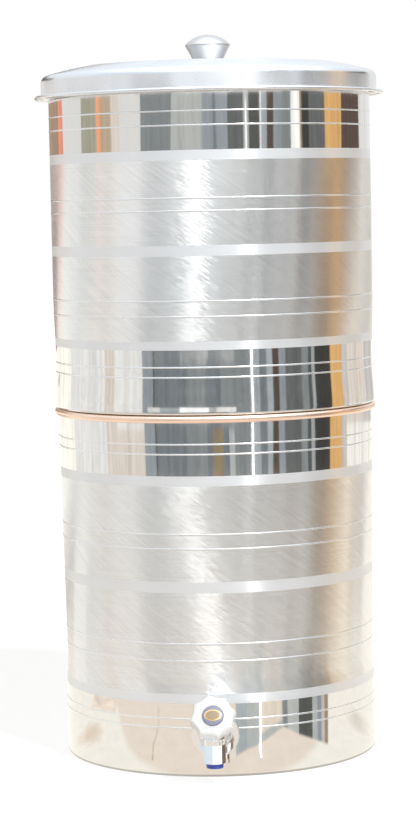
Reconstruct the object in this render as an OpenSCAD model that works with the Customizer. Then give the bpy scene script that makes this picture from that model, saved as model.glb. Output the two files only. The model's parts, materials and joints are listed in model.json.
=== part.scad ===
// Gravity water filter: two stacked steel drums, a lid with a knob, three
// ceramic candles in the upper drum and an angled tap on the lower drum.
// Millimetres. +Z is up, the tap points to -Y, and the origin is on the
// ground under the middle of the drums.

/* [Drums] */
// Outer radius of the upper drum
drum_r = 125; // [115:1:140]
// Thickness of the steel sheet
sheet_t = 0.8; // [0.6:0.1:1.2]
// Height of the upper drum, from its lower lip to the top of its rim
upper_h = 256; // [235:1:300]
// Height of the lower drum's wall
lower_h = 269; // [240:1:300]
// How much narrower the lower drum's mouth is than the upper drum
mouth_inset = 2; // [1:0.5:4]
// How much the lower drum narrows from its mouth down to its waist
lower_taper = 2.6; // [0.5:0.1:4]
// How far the foot of the lower drum stands out from its waist
foot_flare = 1.2; // [0.4:0.1:2.4]
// Depth of the neck pressed in above the upper drum's lip
neck_dip = 1.1; // [0:0.1:2]
// Width of the wire bead rolled into the upper drum's rim
rim_bead_d = 4; // [3:0.5:6]
// How deep the upper drum nests in the lower one
nest_h = 15; // [10:1:24]
// Radius of the corner between the nest and its floor
nest_corner_r = 6; // [3:0.5:10]
// Height that the ornamental lines stand proud of the wall
line_proud = 0.35; // [0.2:0.05:0.8]

/* [Joint ring] */
// Diameter of the copper ring's round section
ring_d = 5.6; // [5:0.2:10]
// How far the ring grips down over the lower drum's edge
ring_grip = 2.6; // [2:0.2:5]

/* [Base] */
// Width of the hem that the drum stands on
hem_w = 7; // [5:0.5:12]
// Height of the base plate's raised middle
base_rise = 5; // [3:0.5:10]

/* [Lid] */
// Overhang of the lid's skirt past the drum wall
lid_overhang = 5.5; // [4.5:0.5:9]
// Height of the lid's skirt
lid_skirt_h = 15.4; // [10:0.2:24]
// Width of the lid's flange beyond its skirt
lid_flange_w = 5.2; // [3.5:0.1:8]
// Rise of the lid's crown from its shoulder to its middle
crown_rise = 2.7; // [1:0.1:10]
// Radius of the lid's crown
crown_r = 97; // [80:1:104]

/* [Knob] */
// Widest diameter of the knob
knob_d = 35; // [28:0.5:44]
// Diameter of the knob where it stands on the lid
knob_foot_d = 23.2; // [18:0.2:26]
// Height of the knob
knob_h = 20.9; // [16:0.1:26]
// Height of the knob's widest part above the lid
knob_wide_z = 12.4; // [8:0.2:14]
// Diameter of the knob's screw
knob_screw_d = 5; // [4:0.5:6]

/* [Candles] */
// Number of filter candles
candles = 3; // [2:1:3]
// Distance of each candle from the drum's axis
candle_pitch_r = 60; // [50:1:74]
// Outer diameter of a ceramic candle
candle_d = 50; // [40:1:54]
// Length of the ceramic
candle_h = 150; // [100:5:180]
// Wall thickness of the ceramic
candle_wall = 8; // [5:0.5:11]
// Diameter of the candle's threaded stem
stem_d = 12; // [10:0.5:14]
// Length of the stem below the candle's foot
stem_l = 26; // [22:0.5:32]

/* [Tap] */
// Height of the tap's inlet axis
tap_z = 34; // [30:1:60]
// Tilt of the spindle above the horizontal, in degrees
tap_tilt = 33; // [28:1:38]
// Diameter of the flange
flange_d = 36.4; // [32:0.2:44]
// Thickness of the flange
flange_t = 2.6; // [2:0.1:4]
// Diameter of the threaded shank
shank_d = 16; // [13:0.5:18]
// Diameter of the water way through the shank
inlet_d = 9; // [7:0.5:10]
// Distance of the spout's axis from the wall
spout_reach = 22; // [21:0.5:26]
// Outer diameter of the spout
spout_d = 16.5; // [15.5:0.25:19]
// Length of the spout below the inlet axis
spout_drop = 18; // [16:0.5:22]
// Diameter of the nozzle that is pressed into the spout
nozzle_d = 12.8; // [11:0.2:13.4]
// Diameter of the nozzle's bore
nozzle_bore_d = 9.2; // [7:0.2:9.6]
// How far the nozzle sticks out of the spout
nozzle_proud = 3.7; // [2:0.1:6]
// Outer diameter of the inclined barrel
barrel_d = 22; // [20.5:0.5:26]
// Length of the inclined barrel
barrel_l = 21; // [19:0.5:26]
// Diameter of the valve chamber in the barrel
chamber_d = 14.4; // [13:0.2:15]
// Diameter of the hole in the valve seat
seat_d = 8; // [6:0.25:8.5]
// How far the valve lifts in one turn of the handle
valve_lift = 3; // [2:0.25:3.5]

/* [Handle] */
// Diameter of the handle over its tips
handle_d = 35; // [30:0.2:44]
// Thickness of the handle
handle_t = 9.5; // [8.5:0.25:12]
// Number of tips
handle_tips = 8; // [6:1:10]
// Depth of the hollow between two tips
handle_dip = 2.2; // [1.5:0.1:3]
// Diameter of the cap in the handle's face
cap_d = 15.6; // [13:0.2:17]
// Diameter of the spindle
spindle_d = 8; // [7:0.25:8.5]

/* [Clearances] */
// Gap at rest between pieces that lift off each other
rest_gap = 0.3; // [0.3:0.05:0.6]
// Radial gap between the nest and the copper ring
nest_gap = 1; // [0.6:0.1:2]
// Radial gap of a turning or sliding fit
run_gap = 0.05; // [0.02:0.01:0.08]
// Radial gap around a bolt, stem or shank
bolt_gap = 0.3; // [0.2:0.05:0.5]
// Gap between pieces that are clamped together
seat_gap = 0.04; // [0.02:0.01:0.05]

/* [Hidden] */
$fn = 96;

// Colours of the real finishes
steel = [0.80, 0.80, 0.79];
copper = [0.86, 0.63, 0.49];
chrome = [0.86, 0.88, 0.90];
brass = [0.80, 0.66, 0.38];
ceramic = [0.95, 0.93, 0.88];
white_plastic = [0.96, 0.96, 0.96];
blue_plastic = [0.33, 0.38, 0.64];
grey_plastic = [0.55, 0.55, 0.66];
rubber = [0.16, 0.16, 0.17];

// Lower drum: radii and heights that its wall passes through
mouth_r = drum_r - mouth_inset;
waist_r = mouth_r - lower_taper;
foot_r = waist_r + foot_flare;
foot_top_z = tap_z + flange_d / 2 + 2;
waist_h = 20;
waist_z = foot_top_z + waist_h;
mouth_h = 12;
mouth_z = lower_h - mouth_h;
foot_corner_r = 3;
lower_lines = concat([37, 44, 87.5, 100.5], [for (below = [97, 86, 26, 18.5]) lower_h - below]);

// Copper ring on the lower drum's edge
ring_z = lower_h - ring_grip + ring_d / 2;
ring_r = mouth_r;
ring_top_z = ring_z + ring_d / 2;

// Upper drum
lip_z = ring_top_z + rest_gap;
rim_r = drum_r + rim_bead_d / 2 - sheet_t * 1.75;
rim_z = lip_z + upper_h - rim_bead_d / 2;
nest_r = ring_r - ring_d / 2 - nest_gap;
floor_z = lip_z - nest_h;
lip_proud = 0.5;
lip_corner_r = 1.6;
neck_h = 34;
neck_end_h = 84;
upper_lines = concat([28, 35.5, 73, 84.5], [for (below = [105, 95.5, 42, 31.5]) upper_h - below]);
line_w = 1.5;

// Lid: the shoulder is an arc that rests on the rim's bead
shoulder_arc_r = 246;
shoulder_tilt = 9;
arc_r0 = crown_r - shoulder_arc_r * sin(shoulder_tilt);
arc_z0 = rim_z - sqrt(pow(shoulder_arc_r - sheet_t - rim_bead_d / 2 - rest_gap, 2)
                      - pow(rim_r - arc_r0, 2));
skirt_r = drum_r + lid_overhang;
skirt_top_z = arc_height(skirt_r);
flange_bead_r = 1.4;
lid_flange_z = skirt_top_z - lid_skirt_h;
crown_z = arc_height(crown_r);
lid_top_z = crown_z + crown_rise;
skirt_corner_r = 5.5;

function arc_height(r) = arc_z0 + sqrt(pow(shoulder_arc_r, 2) - pow(r - arc_r0, 2));

// Knob and its screw
knob_edge = 1.6;
washer_t = 1;
knob_washer_d = 14;
knob_screw_grip = 11;
knob_screw_head_h = 3;
slot_w = 1;

// Candles
candle_seal_t = 3;
candle_base_h = 14;
candle_cup_h = 8;
candle_base_wall = 2.4;
candle_seal_w = 8;
lower_washer_t = 2;
lower_washer_w = 7;
wing_nut_h = 8;
wing_hub_wall = 3.5;
wing_span = 34;
wing_t = 3;
wing_slope = 2;
candle_foot_z = floor_z + sheet_t + candle_seal_t;

// Tap: distances along the inlet axis are counted from the drum's outer face
flange_seal_t = 2.4;
inner_seal_t = 3.2;
lock_nut_t = 6;
lock_nut_af = shank_d + 8;
inner_seal_d = lock_nut_af + 4;
flange_seal_d = flange_d - 4;
shank_spare = 5;
shank_in = sheet_t + inner_seal_t + lock_nut_t + shank_spare;
bulb_back = 5;
seat_u = flange_seal_t + flange_t + bulb_back;
bulb_r = barrel_d / 2 + 1;
spout_end_z = tap_z - spout_drop;
spout_way_d = 10;
turn_d = inlet_d + 1;
spout_sink = 4;
nozzle_in = 9;

// Tap: distances along the spindle's axis are counted from the middle of the bulb
seat_s = 3;
bonnet_thread_l = 5;
bonnet_seal_t = 0.8;
bonnet_hex_h = 5.6;
bonnet_hex_af = 19;
gland_h = 1.1;
gland_d = 14;
bonnet_in_s = barrel_l - bonnet_thread_l;
bonnet_hex_s = barrel_l + bonnet_seal_t;
gland_s = bonnet_hex_s + bonnet_hex_h;
handle_gap = 1;
handle_s = gland_s + gland_h + handle_gap;
valve_washer_t = 2.5;
plug_disc_t = 2;
plug_d = seat_d + 3;
plug_stem_d = 4;
plug_stem_l = 6;
plug_bolt_d = 2.6;
plug_nut_af = 5;
plug_nut_t = 1.6;
washer_s = seat_s + 0.1;
plug_s = washer_s + valve_washer_t;
spindle_in_s = plug_s + plug_disc_t + run_gap;
spindle_collar_d = spindle_d + 3;
spindle_collar_t = bonnet_in_s - spindle_in_s - valve_lift - rest_gap;
hub_grip = 3.5;
spindle_end_s = handle_s + hub_grip;
square_w = spindle_d * 0.72;
o_ring_d = 1.1;
o_ring_s = bonnet_hex_s + bonnet_hex_h / 2;

// Handle
handle_edge = 1.2;
hub_d = 13;
hollow_h = 4.5;
rim_wall = 2.7;
hollow_d = handle_d - 2 * (handle_dip + rim_wall);
cap_pocket_h = 2;
cap_proud = 1.3;
web_t = 1.5;
web_s = spindle_end_s + 0.2;
screw_head_s = web_s + web_t;
handle_turn = 34.5;
handle_screw_d = 3.4;
handle_screw_l = 11;
screw_head_d = 7.4;
handle_front_s = handle_s + handle_t;

// ---------- outline helpers ----------

function unit(v) = v / norm(v);

// Points of an arc of radius r that rounds the corner p between a and b
function corner(a, p, b, r, n = 5) =
    let (u = unit(a - p), v = unit(b - p), half = acos(u * v) / 2,
         c = p + unit(u + v) * r / sin(half), reach = r / tan(half),
         w0 = unit(p + u * reach - c), w1 = unit(p + v * reach - c), turn = 180 - 2 * half)
    [for (k = [0:n]) c + r * (sin((1 - k / n) * turn) * w0 + sin(k / n * turn) * w1) / sin(turn)];

// A line through [r, z, corner radius] points, with its corners rounded
function rounded(p) =
    [for (i = [0:len(p) - 1]) let (here = [p[i][0], p[i][1]])
        each (i == 0 || i == len(p) - 1 || p[i][2] == undef || p[i][2] == 0) ? [here]
            : corner([p[i - 1][0], p[i - 1][1]], here, [p[i + 1][0], p[i + 1][1]], p[i][2])];

function left_of(v) = [-v[1], v[0]];

// The line p moved sideways by t, to the left of its direction
function beside(p, t) =
    [for (i = [0:len(p) - 1])
        let (a = unit(p[min(i + 1, len(p) - 1)] - p[min(i, len(p) - 2)]),
             b = unit(p[max(i, 1)] - p[max(i - 1, 0)]),
             n = unit(left_of(a) + left_of(b)))
        p[i] + n * t / (n * left_of(a))];

function reversed(p) = [for (i = [len(p) - 1:-1:0]) p[i]];

// A sheet of thickness t whose outer face follows the line p: it lies to
// the left of the line, or to its right where t is negative
module sheet(p, t = sheet_t)
    polygon(t > 0 ? concat(p, reversed(beside(p, t))) : concat(beside(p, t), reversed(p)));

// Smooth step from 0 to 1
function ease(x) = (1 - cos(180 * max(0, min(1, x)))) / 2;

// Bead that stands out of a wall of radius r
module ring_line(r, z) intersection() {
    bead_r = line_w * line_w / (8 * line_proud) + line_proud / 2;
    translate([r + line_proud - bead_r, z]) circle(r = bead_r, $fn = 24);
    translate([r - sheet_t / 2, z - line_w]) square([sheet_t + line_proud, 2 * line_w]);
}

// ---------- lid ----------

module lid() color(steel) rotate_extrude() {
    hole_r = knob_screw_d / 2 + bolt_gap;
    bead_at_r = skirt_r + lid_flange_w - flange_bead_r;
    sheet(rounded(concat(
        [for (i = [0:6]) let (r = hole_r + (crown_r - hole_r) * i / 6)
            [r, lid_top_z - crown_rise * pow(r / crown_r, 2)]],
        [for (i = [1:6]) let (r = crown_r + (skirt_r - crown_r) * i / 8) [r, arc_height(r)]],
        [[skirt_r, skirt_top_z, skirt_corner_r],
         [skirt_r, lid_flange_z, 1.4],
         [bead_at_r - sheet_t / 2, lid_flange_z]])), -sheet_t);
    translate([bead_at_r, lid_flange_z - sheet_t * 0.6]) circle(r = flange_bead_r, $fn = 24);
}

module lid_knob() color(steel) translate([0, 0, lid_top_z]) difference() {
    knob_r = knob_d / 2;
    dome_z = knob_wide_z + knob_edge;
    dome_r = knob_r - knob_edge / 2;
    rise = knob_h - dome_z;
    crown = (dome_r * dome_r + rise * rise) / (2 * rise);
    rotate_extrude() polygon(concat(
        [[0, 0]],
        [for (i = [0:5]) let (k = i / 5)
            [knob_foot_d / 2 + (knob_r - knob_foot_d / 2) * pow(k, 1.25), knob_wide_z * k]],
        [[knob_r, dome_z - knob_edge / 2]],
        [for (i = [8:-1:0]) let (r = dome_r * i / 8) [r, knob_h - crown + sqrt(crown * crown - r * r)]]));
    translate([0, 0, -1]) cylinder(d = knob_screw_d + 2 * seat_gap, h = knob_screw_grip + 2);
}

module lid_knob_washer() color(chrome)
    translate([0, 0, lid_top_z - sheet_t - seat_gap - washer_t]) difference() {
        cylinder(d = knob_washer_d, h = washer_t);
        translate([0, 0, -1]) cylinder(d = knob_screw_d + 2 * bolt_gap, h = washer_t + 2);
    }

module lid_knob_screw() color(chrome) {
    head_top_z = lid_top_z - sheet_t - 2 * seat_gap - washer_t;
    translate([0, 0, head_top_z]) cylinder(d = knob_screw_d, h = lid_top_z + knob_screw_grip - head_top_z);
    translate([0, 0, head_top_z - knob_screw_head_h]) difference() {
        cylinder(d = knob_screw_d * 2, h = knob_screw_head_h);
        translate([-knob_screw_d, -slot_w / 2, -1]) cube([knob_screw_d * 2, slot_w, 1 + knob_screw_head_h * 0.4]);
    }
}

// ---------- upper drum ----------

// Outer radius of the upper wall at a height above its lip
function upper_wall_r(h) =
    drum_r + (h < neck_h ? lip_proud - (lip_proud + neck_dip) * ease(h / neck_h)
                         : -neck_dip * (1 - ease((h - neck_h) / (neck_end_h - neck_h))));

module upper_container() color(steel) difference() {
    rotate_extrude() {
        lip_r = upper_wall_r(0);
        sheet(rounded(concat(
            [[0, floor_z], [nest_r, floor_z, nest_corner_r], [nest_r, lip_z, 0.6], [lip_r, lip_z, lip_corner_r]],
            [for (i = [1:14]) let (h = neck_end_h * i / 14) [upper_wall_r(h), lip_z + h]],
            [[drum_r, rim_z]])));
        translate([rim_r, rim_z]) circle(d = rim_bead_d, $fn = 32);
        for (h = upper_lines) ring_line(upper_wall_r(h), lip_z + h);
    }
    for (i = [1:candles]) at_candle(i, floor_z - 1) cylinder(d = stem_d + 2 * bolt_gap, h = sheet_t + 2);
}

// ---------- candles ----------

module at_candle(i, z) rotate(90 + 360 / candles * (i - 1)) translate([candle_pitch_r, 0, z]) children();

module washer(d, bore_d, t) difference() {
    cylinder(d = d, h = t);
    translate([0, 0, -1]) cylinder(d = bore_d, h = t + 2);
}

module domed_rod(r, h) {
    cylinder(r = r, h = h - r);
    translate([0, 0, h - r]) intersection() {
        sphere(r = r);
        translate([0, 0, -0.01]) cylinder(r = r + 1, h = r + 1);
    }
}

module candle(i) color(ceramic)
    at_candle(i, candle_foot_z + candle_base_h - candle_cup_h + seat_gap) difference() {
        domed_rod(candle_d / 2, candle_h);
        translate([0, 0, -1]) domed_rod(candle_d / 2 - candle_wall, candle_h - candle_wall + 1);
    }

module candle_base(i) color(white_plastic) at_candle(i, candle_foot_z) difference() {
    union() {
        cylinder(r = candle_d / 2 + candle_base_wall, h = candle_base_h);
        translate([0, 0, -stem_l]) cylinder(d = stem_d, h = stem_l + 1);
    }
    translate([0, 0, candle_base_h - candle_cup_h]) cylinder(r = candle_d / 2 + seat_gap, h = candle_cup_h + 1);
    translate([0, 0, -stem_l - 1]) cylinder(d = stem_d / 2, h = stem_l + candle_base_h);
}

module candle_seal(i) color(rubber) at_candle(i, floor_z + sheet_t + seat_gap)
    washer(stem_d + 2 * candle_seal_w, stem_d + bolt_gap, candle_seal_t - 2 * seat_gap);

module candle_lower_washer(i) color(rubber) at_candle(i, floor_z - lower_washer_t - seat_gap)
    washer(stem_d + 2 * lower_washer_w, stem_d + bolt_gap, lower_washer_t);

module candle_wing_nut(i) color(white_plastic)
    at_candle(i, floor_z - lower_washer_t - wing_nut_h - 2 * seat_gap) difference() {
        union() {
            cylinder(d = stem_d + 2 * wing_hub_wall, h = wing_nut_h);
            translate([0, wing_t / 2, 0]) rotate([90, 0, 0]) linear_extrude(wing_t) {
                tip = wing_span / 2;
                foot = tip - wing_slope;
                polygon([[-foot, 0], [foot, 0], [tip, wing_nut_h / 2],
                         [foot, wing_nut_h], [-foot, wing_nut_h], [-tip, wing_nut_h / 2]]);
            }
        }
        translate([0, 0, -1]) cylinder(d = stem_d + 2 * run_gap, h = wing_nut_h + 2);
    }

// ---------- lower drum ----------

// Outer radius of the lower wall at a height above the ground
function lower_wall_r(z) =
    z < waist_z ? foot_r - foot_flare * ease((z - foot_top_z) / (waist_z - foot_top_z))
                : waist_r + lower_taper * min(1, (z - waist_z) / (mouth_z - waist_z));

module lower_container() color(steel) difference() {
    rotate_extrude() {
        sheet(rounded(concat(
            [[foot_r - hem_w, 0], [foot_r, 0, foot_corner_r]],
            [for (i = [0:8]) let (z = foot_top_z + (waist_z - foot_top_z) * i / 8) [lower_wall_r(z), z]],
            [[mouth_r, mouth_z], [mouth_r, lower_h]])));
        for (z = lower_lines) ring_line(lower_wall_r(z), z);
    }
    tap_axis(-sheet_t - 3) cylinder(d = shank_d + 2 * bolt_gap, h = sheet_t + 6);
}

module lower_base_plate() color(steel) rotate_extrude() {
    rest_z = sheet_t + seat_gap;
    edge_r = foot_r - sheet_t - seat_gap;
    sheet(rounded([
        [0, rest_z + base_rise], [foot_r - hem_w - 8, rest_z + base_rise, 2.5],
        [foot_r - hem_w - 3, rest_z, 2.5], [edge_r, rest_z, foot_corner_r],
        [edge_r, rest_z + base_rise]]));
}

module joint_ring() color(copper) rotate_extrude() difference() {
    translate([ring_r, ring_z]) circle(d = ring_d, $fn = 48);
    translate([mouth_r - sheet_t - seat_gap, ring_z - ring_d])
        square([sheet_t + 2 * seat_gap, lower_h + 0.2 - ring_z + ring_d]);
}

// ---------- tap ----------

module tap_axis(u = 0) translate([0, -foot_r, tap_z]) rotate([90, 0, 0]) translate([0, 0, u]) children();
module spindle_axis(s = 0) tap_axis(seat_u) rotate([-tap_tilt, 0, 0]) translate([0, 0, s]) children();
module spout_axis(z) translate([0, -foot_r - spout_reach, z]) children();

module hexagon(af, h) cylinder(d = af / cos(30), h = h, $fn = 6);

module tap_body() color(chrome) difference() {
    spout_top_z = tap_z + (spout_reach - seat_u) * tan(tap_tilt) - spout_sink;
    union() {
        tap_axis(-shank_in) cylinder(d = shank_d, h = shank_in + flange_seal_t + 1);
        tap_axis(flange_seal_t) cylinder(d = flange_d, h = flange_t);
        intersection() {
            spindle_axis() sphere(r = bulb_r);
            tap_axis(flange_seal_t + 1) cylinder(r = bulb_r + 1, h = seat_u + bulb_r);
        }
        spindle_axis() cylinder(d = barrel_d, h = barrel_l);
        spout_axis(spout_end_z) cylinder(d = spout_d, h = spout_top_z - spout_end_z);
    }
    tap_axis(-shank_in - 1) cylinder(d = inlet_d, h = shank_in + 1 + seat_u);
    spindle_axis() sphere(d = turn_d);
    spindle_axis() cylinder(d = seat_d, h = seat_s + 1);
    spindle_axis(seat_s) cylinder(d = chamber_d, h = barrel_l);
    spout_axis(spout_end_z - 1) cylinder(d = spout_way_d, h = spout_top_z - spout_end_z);
    spout_axis(spout_end_z - 1) cylinder(d = nozzle_d + 2 * seat_gap, h = nozzle_in + 1);
}

module tap_flange_seal() color(rubber) difference() {
    tap_axis(-3) cylinder(d = flange_seal_d, h = 3 + flange_seal_t - seat_gap);
    tap_axis(-4) cylinder(d = shank_d + bolt_gap, h = 5 + flange_seal_t);
    cylinder(r = foot_r + seat_gap, h = foot_top_z + 10, $fn = 360);
    rotate_extrude($fn = 360) for (z = lower_lines) ring_line(foot_r + seat_gap, z);
}

module tap_inner_seal() color(rubber) difference() {
    intersection() {
        tap_axis(-sheet_t - inner_seal_t) cylinder(d = inner_seal_d, h = inner_seal_t + sheet_t);
        cylinder(r = foot_r - sheet_t - seat_gap, h = foot_top_z + 10, $fn = 360);
    }
    tap_axis(-sheet_t - inner_seal_t - 1) cylinder(d = shank_d + bolt_gap, h = inner_seal_t + sheet_t + 2);
}

module tap_lock_nut() color(brass)
    tap_axis(-sheet_t - inner_seal_t - lock_nut_t - seat_gap) difference() {
        hexagon(lock_nut_af, lock_nut_t);
        translate([0, 0, -1]) cylinder(d = shank_d + 2 * run_gap, h = lock_nut_t + 2);
    }

module tap_nozzle() color(blue_plastic) spout_axis(spout_end_z - nozzle_proud)
    washer(nozzle_d, nozzle_bore_d, nozzle_proud + nozzle_in - seat_gap);

module tap_bonnet() color(chrome) difference() {
    union() {
        spindle_axis(bonnet_in_s) cylinder(d = chamber_d - 2 * run_gap, h = bonnet_hex_s - bonnet_in_s + 1);
        spindle_axis(bonnet_hex_s) rotate(30) hexagon(bonnet_hex_af, bonnet_hex_h);
        spindle_axis(bonnet_hex_s) cylinder(d = gland_d, h = bonnet_hex_h + gland_h);
    }
    spindle_axis(bonnet_in_s - 1) cylinder(d = spindle_d + 2 * run_gap, h = barrel_l);
}

module bonnet_seal() color(rubber) spindle_axis(barrel_l + seat_gap)
    washer(bonnet_hex_af, chamber_d + bolt_gap, bonnet_seal_t - 2 * seat_gap);

module tap_spindle() color(brass) difference() {
    union() {
        spindle_axis(spindle_in_s) cylinder(d = spindle_d, h = gland_s + gland_h - spindle_in_s);
        spindle_axis(spindle_in_s) cylinder(d = spindle_collar_d, h = spindle_collar_t);
        spindle_axis(spindle_in_s + 1) intersection() {
            cylinder(d = spindle_d, h = spindle_end_s - spindle_in_s - 1);
            translate([-square_w / 2, -square_w / 2, 0]) cube([square_w, square_w, barrel_l * 2]);
        }
    }
    spindle_axis(spindle_in_s - 1) cylinder(d = plug_stem_d + 2 * run_gap, h = plug_stem_l + 1);
    spindle_axis(spindle_end_s - handle_screw_l) cylinder(d = handle_screw_d + 2 * seat_gap, h = handle_screw_l + 1);
    spindle_axis(o_ring_s - o_ring_d * 0.6) washer(spindle_d + 2, spindle_d - 2 * o_ring_d, o_ring_d * 1.2);
}

module spindle_seal() color(rubber) spindle_axis(o_ring_s) rotate_extrude()
    translate([spindle_d / 2 - o_ring_d / 2 - seat_gap / 2, 0]) circle(d = o_ring_d - seat_gap, $fn = 24);

module valve_plug() color(brass) {
    spindle_axis(plug_s) cylinder(d = plug_d, h = plug_disc_t);
    spindle_axis(plug_s) cylinder(d = plug_stem_d, h = spindle_in_s + plug_stem_l - 0.6 - plug_s);
    spindle_axis(washer_s - plug_nut_t - 0.4) cylinder(d = plug_bolt_d, h = valve_washer_t + plug_nut_t + 1);
}

module valve_washer() color(rubber) spindle_axis(washer_s)
    washer(plug_d - 0.4, plug_bolt_d + 2 * seat_gap, valve_washer_t - seat_gap);

module valve_washer_nut() color(brass) spindle_axis(washer_s - plug_nut_t - seat_gap) difference() {
    hexagon(plug_nut_af, plug_nut_t);
    translate([0, 0, -1]) cylinder(d = plug_bolt_d + 2 * seat_gap, h = plug_nut_t + 2);
}

// ---------- handle ----------

// Round plate with shallow hollows cut between its tips
module star(d, dip, tips) {
    half = 180 / tips;
    near = d / 2 * cos(half) - (d / 2 - dip);
    side = d / 2 * sin(half);
    cut_r = (near * near + side * side) / (2 * near);
    difference() {
        circle(d = d);
        for (i = [0:tips - 1]) rotate(i * 2 * half)
            translate([d / 2 - dip + cut_r, 0]) circle(r = cut_r, $fn = 180);
    }
}

module tap_handle() color(white_plastic) spindle_axis(handle_s) difference() {
    intersection() {
        rotate(handle_turn) linear_extrude(handle_t) star(handle_d, handle_dip, handle_tips);
        rotate_extrude() polygon([
            [0, 0], [handle_d / 2 - handle_edge, 0], [handle_d / 2, handle_edge],
            [handle_d / 2, handle_t - 2 * handle_edge], [handle_d / 2 - 2 * handle_edge, handle_t],
            [0, handle_t]]);
    }
    translate([0, 0, -1]) washer(hollow_d, hub_d, hollow_h + 1);
    translate([-square_w / 2 - run_gap, -square_w / 2 - run_gap, -1])
        cube([square_w + 2 * run_gap, square_w + 2 * run_gap, web_s - handle_s + 1]);
    cylinder(d = handle_screw_d + 2 * bolt_gap, h = handle_t);
    translate([0, 0, screw_head_s - handle_s]) cylinder(d = screw_head_d + 2 * bolt_gap, h = handle_t);
    translate([0, 0, handle_t - cap_pocket_h]) cylinder(d = cap_d + 2 * seat_gap, h = handle_t);
}

module tap_handle_screw() color(chrome) {
    head_h = handle_front_s - cap_pocket_h - screw_head_s - 0.2;
    spindle_axis(spindle_end_s - handle_screw_l + 1)
        cylinder(d = handle_screw_d, h = screw_head_s - spindle_end_s + handle_screw_l);
    spindle_axis(screw_head_s + seat_gap) difference() {
        cylinder(d = screw_head_d, h = head_h);
        translate([-screw_head_d, -slot_w / 2, head_h / 2]) cube([screw_head_d * 2, slot_w, head_h]);
    }
}

module tap_handle_cap() color(grey_plastic) spindle_axis(handle_front_s - cap_pocket_h + seat_gap)
    rotate_extrude() polygon(concat(
        [[0, 0], [cap_d / 2, 0], [cap_d / 2, cap_pocket_h]],
        [for (i = [5:-1:0]) let (r = (cap_d / 2 - 0.5) * i / 5)
            [r, cap_pocket_h + cap_proud - cap_proud * 0.6 * pow(r / (cap_d / 2), 2)]]));

lid();
lid_knob();
lid_knob_washer();
lid_knob_screw();
upper_container();
for (i = [1:candles]) {
    candle(i);
    candle_base(i);
    candle_seal(i);
    candle_lower_washer(i);
    candle_wing_nut(i);
}
joint_ring();
lower_container();
lower_base_plate();
tap_body();
tap_flange_seal();
tap_inner_seal();
tap_lock_nut();
tap_nozzle();
tap_bonnet();
bonnet_seal();
tap_spindle();
spindle_seal();
valve_plug();
valve_washer();
valve_washer_nut();
tap_handle();
tap_handle_screw();
tap_handle_cap();
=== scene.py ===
"""Looks of a gravity water filter: two steel drums, a lid with a knob, and an angled tap.

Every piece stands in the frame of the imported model, in metres, +Z up, with the tap towards -Y.
"""

import json
import math

import bmesh
import bpy
from bpy.props import FloatProperty, FloatVectorProperty, IntProperty, PointerProperty
from mathutils import Matrix, Vector


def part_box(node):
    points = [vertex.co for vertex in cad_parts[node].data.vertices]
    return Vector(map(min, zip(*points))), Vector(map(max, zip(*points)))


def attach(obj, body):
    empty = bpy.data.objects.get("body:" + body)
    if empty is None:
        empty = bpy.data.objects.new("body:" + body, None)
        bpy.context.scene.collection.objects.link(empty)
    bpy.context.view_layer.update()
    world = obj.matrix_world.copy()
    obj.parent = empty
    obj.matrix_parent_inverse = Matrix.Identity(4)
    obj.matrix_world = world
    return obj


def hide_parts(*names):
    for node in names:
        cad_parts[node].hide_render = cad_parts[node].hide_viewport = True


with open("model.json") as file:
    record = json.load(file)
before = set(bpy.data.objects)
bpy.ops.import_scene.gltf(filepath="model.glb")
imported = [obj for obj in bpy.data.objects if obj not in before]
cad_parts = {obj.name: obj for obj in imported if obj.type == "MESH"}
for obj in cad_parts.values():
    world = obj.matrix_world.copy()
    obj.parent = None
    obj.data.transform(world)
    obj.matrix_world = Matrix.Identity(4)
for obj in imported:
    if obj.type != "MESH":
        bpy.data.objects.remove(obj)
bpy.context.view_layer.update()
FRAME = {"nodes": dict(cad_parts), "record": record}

bl_info = {
    "name": "Gravity Water Filter",
    "version": (1, 0, 0),
    "blender": (4, 5, 0),
    "location": "3D View > Sidebar > Water Filter",
    "description": "Builds the looks of a two-drum candle water filter with a tap",
    "category": "Object",
}

MM = 0.001
# Steps round the surfaces of revolution
ROUND = 256

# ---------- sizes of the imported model, in millimetres ----------

SHEET = 0.8
# How far pieces that are seated on each other stay apart
SEAT_GAP = 0.04

# Upper drum. Its heights named _H count from its lip, and all those named _Z from the ground
UPPER_R = 125.0
UPPER_H = 256.0
LIP_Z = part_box("upper_container")[1].z / MM - UPPER_H
LIP_PROUD = 0.5
LIP_CORNER_R = 1.6
LIP_FOLD_R = 0.6
NECK_H = 34.0
NECK_END_H = 84.0
NECK_DIP = 1.1
RIM_BEAD = 4.0
RIM_R = UPPER_R + RIM_BEAD / 2 - SHEET * 1.75
RIM_Z = LIP_Z + UPPER_H - RIM_BEAD / 2

# Lower drum. Its wall is straight over the last stretch below its mouth
LOWER_H = 269.0
MOUTH_R = 123.0
MOUTH_H = 12.0
MOUTH_Z = LOWER_H - MOUTH_H
WAIST_R = 120.4
WAIST_Z = 74.2
FOOT_R = 121.6
FOOT_TOP_Z = 54.2
FOOT_CORNER_R = 3.0
HEM = 7.0

# The ring on the lower drum's edge, and the nest of the upper drum inside it
RING_D = 5.6
RING_GRIP = 2.6
RING_SLOT_GAP = 0.2
RING_Z = LOWER_H - RING_GRIP + RING_D / 2
NEST_R = MOUTH_R - RING_D / 2 - 1
NEST_CORNER_R = 6.0
NEST_H = 15.0
FLOOR_Z = LIP_Z - NEST_H

LOWER_LINES = (37.0, 44.0, 87.5, 100.5, 172.0, 183.0, 243.0, 250.5)
UPPER_LINES = tuple(LIP_Z + h for h in (28.0, 35.5, 73.0, 84.5, 151.0, 160.5, 214.0, 224.5))

# Slope of the brush strokes, in degrees down to the right
BRUSH_SLANT = 33.5

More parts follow.
